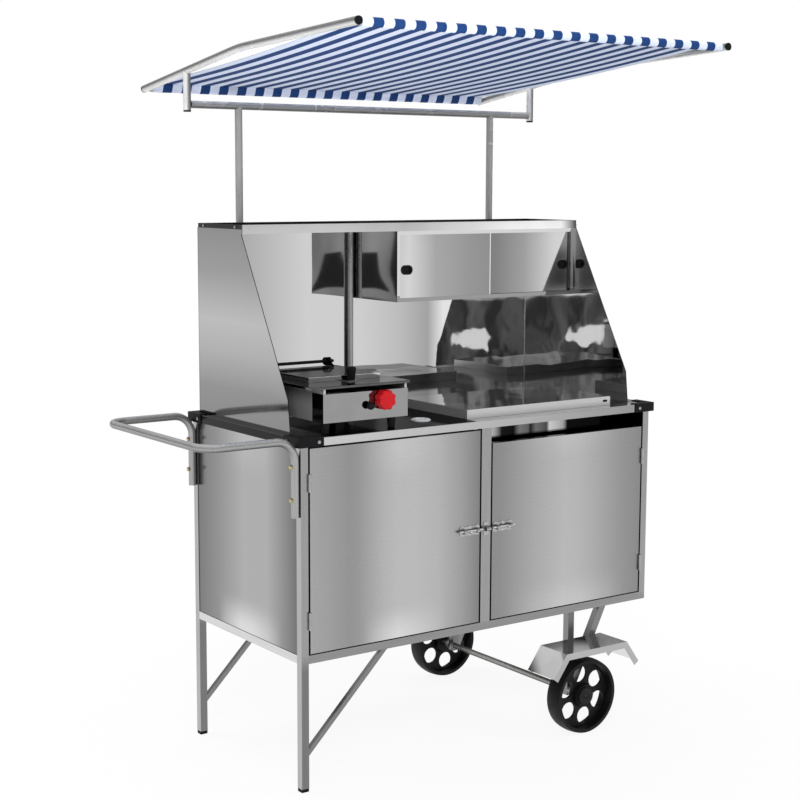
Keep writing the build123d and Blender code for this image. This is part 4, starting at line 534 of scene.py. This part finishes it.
give(plated("zinc_plate", "#B8B8B6", "#A0A09E", 0.25, 0.36), "hinge_pintles", "left_door_barrels",
     "right_door_barrels", "tank_burner", "griddle_burner", "cap_bolts", "tray_bolts")
give(plated("brass", "#D2C49A", "#B4A272", 0.25, 0.38), "gas_fittings", "handle_bolts")
give(plated("griddle_steel", "#6A6A6A", "#4A4A4A", 0.1, 0.2, 40.0), "griddle_plate")
give(moulded("black_abs", "#161618", "#0E0E10", 0.4, 0.5, 0.1), "corner_caps", "leg_plugs", "awning_plugs",
     "igniter_button", "press_knob", "left_pull", "right_pull", "press_hinge")
give(moulded("red_abs", "#BE141E", "#A81018", 0.28, 0.4), "gas_knob")
give(moulded("black_rubber", "#1A1A1A", "#101010", 0.6, 0.75), "griddle_feet")
give(moulded("wheel_polypropylene", "#101011", "#0A0A0B", 0.45, 0.6), "front_wheel", "back_wheel")
give(moulded("grey_polypropylene", "#1C1C1E", "#141416", 0.45, 0.55), "axle_caps")


# Awning cloth

STRIPES = 39
ACROSS_STRIPE, HEM_POINTS, ARC_POINTS, RUN_POINTS = 6, 8, 28, 92
TUBE_TO_CLOTH = 10.2 * MM
POCKET_OUT = 11.4 * MM
SEAM_BELOW = 1.2 * MM
FRONT_SEAM = 40 * MM
BACK_SEAM = 16 * MM
SAG = 8 * MM
SIDE_PULL = 4 * MM
GATHER, GATHER_REACH = 0.7 * MM, 0.06
GATHERS, SWAY, SWAYS = 17, 3, 5
THICKNESS = 0.8 * MM
STRIPE_EDGE = 0.06
RIB_SCALE = 400.0 / (2 * np.pi)


def pocket_line(centre, along, up, hem):
    """Profile of a sewn pocket in the (along, up) plane: a straight hem from the seam, then round the tube.

    The hem meets the tube at the angle acos(r / d) off the line to the seam, d being the seam's distance."""
    seam = hem * along + (TUBE_TO_CLOTH - SEAM_BELOW) * up
    reach_to = np.hypot(*seam)
    start = np.arctan2(seam @ up, seam @ along) - np.arccos(TUBE_TO_CLOTH / reach_to)
    angles = np.linspace(start + 2 * np.pi, np.pi / 2, ARC_POINTS)[:, None]
    arc = TUBE_TO_CLOTH * (np.cos(angles) * along + np.sin(angles) * up)
    straight = seam + np.linspace(0, 1, HEM_POINTS)[:-1, None] * (arc[0] - seam)
    return centre + np.concatenate([straight, arc])


def awning_cloth():
    """The sheet as P(u, s): u from 0 to 1 across the stripes, s along its cut length, pocket, run, pocket.

    On the run, with v from 0 to 1 between the tubes, the sheet hangs SAG sin(pi v) below the straight line,
    its sides draw in by SIDE_PULL sin(pi v), and gathers of the form sin(17 t + 3 sin 5 t), t = 2 pi u, die
    away from the tubes as exp(-(v / GATHER_REACH)^2)."""
    low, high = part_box("canopy")
    front = np.array([low.y + POCKET_OUT, high.z - POCKET_OUT])
    back = np.array([high.y - POCKET_OUT, low.z + POCKET_OUT])
    along = (back - front) / np.hypot(*(back - front))
    up = np.array([-along[1], along[0]])
    first = pocket_line(front, along, up, FRONT_SEAM)
    last = pocket_line(back, -along, up, BACK_SEAM)[::-1]
    v = np.linspace(0, 1, RUN_POINTS)[1:-1, None]
    run = first[-1] + v * (last[0] - first[-1]) - SAG * np.sin(np.pi * v) * up
    line = np.concatenate([first, run, last])
    cut = np.concatenate([[0], np.cumsum(np.hypot(*np.diff(line, axis=0).T))])
    run_start, run_end = cut[len(first) - 1], cut[-len(last)]
    middle = np.clip((cut - run_start) / (run_end - run_start), 0, 1)
    width = high.x - low.x
    u = np.linspace(0, 1, ACROSS_STRIPE * STRIPES + 1)
    pull = SIDE_PULL * np.sin(np.pi * middle)
    x = (low.x + high.x) / 2 + (u[:, None] - 0.5) * (width - 2 * pull[None, :])
    near = np.exp(-((middle / GATHER_REACH) ** 2)) + np.exp(-(((1 - middle) / GATHER_REACH) ** 2))
    inside = ((middle > 0) & (middle < 1)).astype(float)
    turn = 2 * np.pi * u[:, None]
    gather = GATHER * np.sin(turn * GATHERS + SWAY * np.sin(turn * SWAYS)) * near * inside
    y = np.broadcast_to(line[:, 0], x.shape)
    z = np.broadcast_to(line[:, 1], x.shape) + gather
    across, down = x.shape
    points = np.stack([x, y, z], axis=-1).reshape(-1, 3)
    corner = (np.arange(across - 1)[:, None] * down + np.arange(down - 1)[None, :]).ravel()
    faces = np.stack([corner, corner + down, corner + down + 1, corner + 1], axis=1)
    mesh = bpy.data.meshes.new("awning_cloth")
    mesh.from_pydata(points.tolist(), [], faces.tolist())
    flat = np.stack([np.broadcast_to(u[:, None] * width, x.shape), np.broadcast_to(cut, x.shape)], axis=-1)
    order = np.empty(len(mesh.loops), np.int32)
    mesh.loops.foreach_get("vertex_index", order)
    by_loop = flat.reshape(-1, 2)[order].astype(np.float32).ravel()
    mesh.uv_layers.new(name="cut").data.foreach_set("uv", by_loop)
    mesh.polygons.foreach_set("use_smooth", np.ones(len(mesh.polygons), bool))
    made = bpy.data.objects.new("awning_cloth", mesh)
    scene.collection.objects.link(made)
    body = made.modifiers.new("cloth_thickness", "SOLIDIFY")
    body.thickness = THICKNESS
    body.offset = 0.0
    return made, width, float(cut[-1])


def striped_canvas(width):
    """Woven acrylic awning canvas with yarn-dyed stripes: matt, faint ribs and slightly soft stripe edges.

    Threads of 0.5 mm are drawn as ribs 4.9 mm apart so that they show; a wave is 2 pi / (20 RIB_SCALE)."""
    made, tree = new_material("yarn_dyed_canvas")
    cut = put(tree, "ShaderNodeUVMap", out="UV", uv_map="cut")
    u = put(tree, "ShaderNodeSeparateXYZ", {"Vector": cut}, "X")
    wave = put(tree, "ShaderNodeMath", {0: u, 1: np.pi * STRIPES / width}, operation="MULTIPLY")
    side = put(tree, "ShaderNodeMath", {0: wave}, operation="SINE")
    blue = put(tree, "ShaderNodeMapRange", {"Value": side, "From Min": STRIPE_EDGE, "From Max": -STRIPE_EDGE},
               interpolation_type="SMOOTHSTEP")
    # Both tones are painted darker for the shade on the awning's underside, and the white painted bluish for
    # light from the blue stripes
    colour = put(tree, "ShaderNodeMix", {"Factor": blue, "A": linear("#D2DAEE"), "B": linear("#1D3C70")},
                 "Result", data_type="RGBA")
    ribs = put(tree, "ShaderNodeTexWave", {"Vector": cut, "Scale": RIB_SCALE, "Distortion": 1.0}, "Fac")
    bump = put(tree, "ShaderNodeBump", {"Height": ribs, "Strength": 0.15, "Distance": 0.4 * MM})
    canvas = put(tree, "ShaderNodeBsdfPrincipled", {
        "Base Color": colour, "Roughness": 0.85, "Specular IOR Level": 0.2, "Normal": bump})
    put(tree, "ShaderNodeOutputMaterial", {"Surface": canvas})
    return made


cloth, cloth_width, cloth_length = awning_cloth()
cloth.data.materials.append(striped_canvas(cloth_width))
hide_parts("canopy")
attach(cloth, "awning")


# Studio and camera. The camera was solved on the photo: place, angles in radians, focal length in pixels

CAMERA_AT = (-2.374380, -3.389289, 1.437559)
YAW, PITCH, ROLL = 0.617299, -0.134084, 0.003655
FOCAL_PX, PICTURE_PX, SENSOR_MM = 1621.326, 800, 36.0
VIEW_END = 100.0
WHITE = (1, 1, 1, 1)
FAR, TALL = 60.0, 30.0
CURTAIN_Y, CARD_Y = -4.5, -4.49
CURTAIN_LEFT, CURTAIN_RIGHT = -4.6, -2.4
CART_MIDDLE = (0.1, 0.0, 0.8)
OVAL_POINTS = 32


def seen(tree):
    """1 for rays from the camera, a reflection or glass, 0 for the rest."""
    camera = put(tree, "ShaderNodeLightPath", out="Is Camera Ray")
    glossy = put(tree, "ShaderNodeLightPath", out="Is Glossy Ray")
    glass = put(tree, "ShaderNodeLightPath", out="Is Transmission Ray")
    first = put(tree, "ShaderNodeMath", {0: camera, 1: glossy}, operation="MAXIMUM")
    return put(tree, "ShaderNodeMath", {0: first, 1: glass}, operation="MAXIMUM")


def studio_world():
    """White where it is seen, plain grey as light."""
    world = bpy.data.worlds.new("studio")
    world.use_nodes = True
    tree = world.node_tree
    tree.nodes.clear()
    level = put(tree, "ShaderNodeMapRange", {"Value": seen(tree), "To Min": 0.32, "To Max": 1.0})
    sky = put(tree, "ShaderNodeBackground", {"Color": WHITE, "Strength": level})
    put(tree, "ShaderNodeOutputWorld", {"Surface": sky})
    scene.world = world


def flat_piece(name, corners, material):
    """One face from its corners."""
    mesh = bpy.data.meshes.new(name)
    mesh.from_pydata(corners, [], [tuple(range(len(corners)))])
    mesh.materials.append(material)
    made = bpy.data.objects.new(name, mesh)
    scene.collection.objects.link(made)
    return made


def pale_floor():
    """Pale floor that looks white and keeps a part of the cart's shadow."""
    made, tree = new_material("pale_floor")
    place = put(tree, "ShaderNodeTexCoord", out="Object")
    away = put(tree, "ShaderNodeVectorMath", {0: place}, "Value", operation="LENGTH")
    whole = put(tree, "ShaderNodeMapRange", {
        "Value": away, "From Min": 0.9, "From Max": 2.6, "To Min": 0.9, "To Max": 1.0},
        interpolation_type="SMOOTHSTEP")
    share = put(tree, "ShaderNodeMath", {0: seen(tree), 1: whole}, operation="MULTIPLY")
    paint = put(tree, "ShaderNodeBsdfPrincipled", {"Base Color": linear("#F0F0F0"), "Roughness": 0.9})
    glow = put(tree, "ShaderNodeEmission", {"Color": WHITE, "Strength": 1.0})
    both = put(tree, "ShaderNodeMixShader", {0: share, 1: paint, 2: glow})
    put(tree, "ShaderNodeOutputMaterial", {"Surface": both})
    return made


def drape(code, fold_code):
    """Evenly lit cloth hung round the set for the steel to mirror, folded if it has a second tone."""
    made, tree = new_material("drape_" + code[1:] + fold_code[1:])
    place = put(tree, "ShaderNodeTexCoord", out="Object")
    hung = put(tree, "ShaderNodeMapping", {"Vector": place, "Scale": (6.0, 6.0, 1.2)})
    folds = put(tree, "ShaderNodeTexNoise", {"Vector": hung, "Scale": 1.0, "Detail": 2.0}, "Fac")
    share = put(tree, "ShaderNodeMapRange", {"Value": folds, "From Min": 0.4, "From Max": 0.68})
    colour = put(tree, "ShaderNodeMix", {"Factor": share, "A": linear(code), "B": linear(fold_code)},
                 "Result", data_type="RGBA")
    glow = put(tree, "ShaderNodeEmission", {"Color": colour, "Strength": 1.0})
    put(tree, "ShaderNodeOutputMaterial", {"Surface": glow})
    return made


def hang(name, corners, code, fold_code=None):
    """A drape that only reflections show."""
    made = flat_piece(name, corners, drape(code, fold_code or code))
    made.visible_camera = False
    made.visible_diffuse = False
    made.visible_shadow = False
    made.visible_transmission = False


def upright(y, x_low, x_high, z_low, z_high):
    """Corners of an upright sheet that faces the cart."""
    return [(x_low, y, z_low), (x_high, y, z_low), (x_high, y, z_high), (x_low, y, z_high)]


def endways(x):
    """Corners of an upright sheet right across one end of the set."""
    return [(x, -FAR, 0), (x, FAR, 0), (x, FAR, TALL), (x, -FAR, TALL)]


def level_sheet(z):
    """Corners of a level sheet over the whole set."""
    return [(-FAR, -FAR, z), (FAR, -FAR, z), (FAR, FAR, z), (-FAR, FAR, z)]


def rounded(y, x, z, half_x, half_z):
    """Corners of an upright oval sheet that faces the cart: its centre plus (half_x cos t, half_z sin t)."""
    turn = np.linspace(0, 2 * np.pi, OVAL_POINTS + 1)[:-1]
    return [(x + half_x * np.cos(t), y, z + half_z * np.sin(t)) for t in turn]


def soft_box(name, place, aim, size, power, spread=np.pi):
    """Square soft light, turned to a point, that the steel doesn't mirror; a small spread makes it a beam."""
    lamp = bpy.data.lights.new(name, "AREA")
    lamp.size = size
    lamp.energy = power
    lamp.spread = spread
    made = bpy.data.objects.new(name, lamp)
    made.location = place
    made.rotation_euler = (Vector(aim) - Vector(place)).to_track_quat("-Z", "Y").to_euler()
    made.visible_glossy = False
    scene.collection.objects.link(made)


def photo_camera():
    """Camera from its angles: forward = (sin y cos p, cos y cos p, sin p), right level before the roll."""
    forward = Vector((np.sin(YAW) * np.cos(PITCH), np.cos(YAW) * np.cos(PITCH), np.sin(PITCH)))
    level = Vector((np.cos(YAW), -np.sin(YAW), 0.0))
    over = level.cross(forward)
    right = level * np.cos(ROLL) + over * np.sin(ROLL)
    up = over * np.cos(ROLL) - level * np.sin(ROLL)
    data = bpy.data.cameras.new("photo_camera")
    data.sensor_width = SENSOR_MM
    data.lens = FOCAL_PX / PICTURE_PX * SENSOR_MM
    data.clip_end = VIEW_END
    made = bpy.data.objects.new("photo_camera", data)
    turned = Matrix((right, up, -forward)).transposed().to_4x4()
    made.matrix_world = Matrix.Translation(CAMERA_AT) @ turned
    scene.collection.objects.link(made)
    scene.camera = made


studio_world()
flat_piece("floor", level_sheet(0), pale_floor())
hang("front_drape", upright(-FAR, -FAR, FAR, 0, TALL), "#BCBCBC")
hang("back_drape", upright(FAR, -FAR, FAR, 0, TALL), "#A0A0A0")
hang("handle_end_drape", endways(-FAR), "#B4B4B4")
hang("wheel_end_drape", endways(FAR), "#8C8C8C")
hang("ceiling_drape", level_sheet(TALL), "#B8B8B8")
hang("dark_curtain", upright(CURTAIN_Y, CURTAIN_LEFT, CURTAIN_RIGHT, 0.05, 0.7), "#363636", "#787878")
hang("left_card", rounded(CARD_Y, -2.84, 0.45, 0.17, 0.1), "#FFFFFF")
hang("right_card", rounded(CARD_Y, -3.9, 0.43, 0.25, 0.09), "#FFFFFF")
hang("grey_curtain", upright(CURTAIN_Y, -3.6, -2.7, 0.7, 1.2), "#9C9C9C", "#C4C4C4")
for name, outline in (("left_stand", ((-3.07, 0.77), (-2.81, 0.79), (-2.89, 1.0), (-3.01, 1.01))),
                      ("right_stand", ((-3.36, 0.76), (-3.12, 0.76), (-3.19, 1.0), (-3.31, 1.0)))):
    hang(name, [(x, CARD_Y, z) for x, z in outline], "#343434")
hang("side_curtain", upright(CARD_Y, -3.8, -3.4, 0.74, 1.2), "#303030", "#606060")
hang("lid_curtain", upright(CURTAIN_Y, CURTAIN_LEFT, CURTAIN_RIGHT, 1.4, 2.1), "#484848", "#B0B0B0")
hang("griddle_curtain", upright(CURTAIN_Y, 2.3, 3.38, 1.5, 2.1), "#6C6C6C", "#9C9C9C")
hang("counter_curtain", upright(CURTAIN_Y, 3.38, 4.8, 1.5, 2.1), "#F0F0F0")
soft_box("key", (-3.2, -4.2, 3.6), CART_MIDDLE, 2.5, 180.0)
soft_box("fill", (3.8, -3.6, 2.8), CART_MIDDLE, 2.5, 120.0)
soft_box("top", (0.0, 0.5, 4.6), CART_MIDDLE, 3.0, 140.0)
soft_box("rim", (-3.0, 4.0, 3.0), CART_MIDDLE, 2.0, 80.0)
soft_box("awning_uplight", (-1.6, -2.4, 0.3), (-0.2, -0.15, 1.75), 0.4, 1.6, 0.5)
photo_camera()
scene.view_settings.view_transform = "Standard"
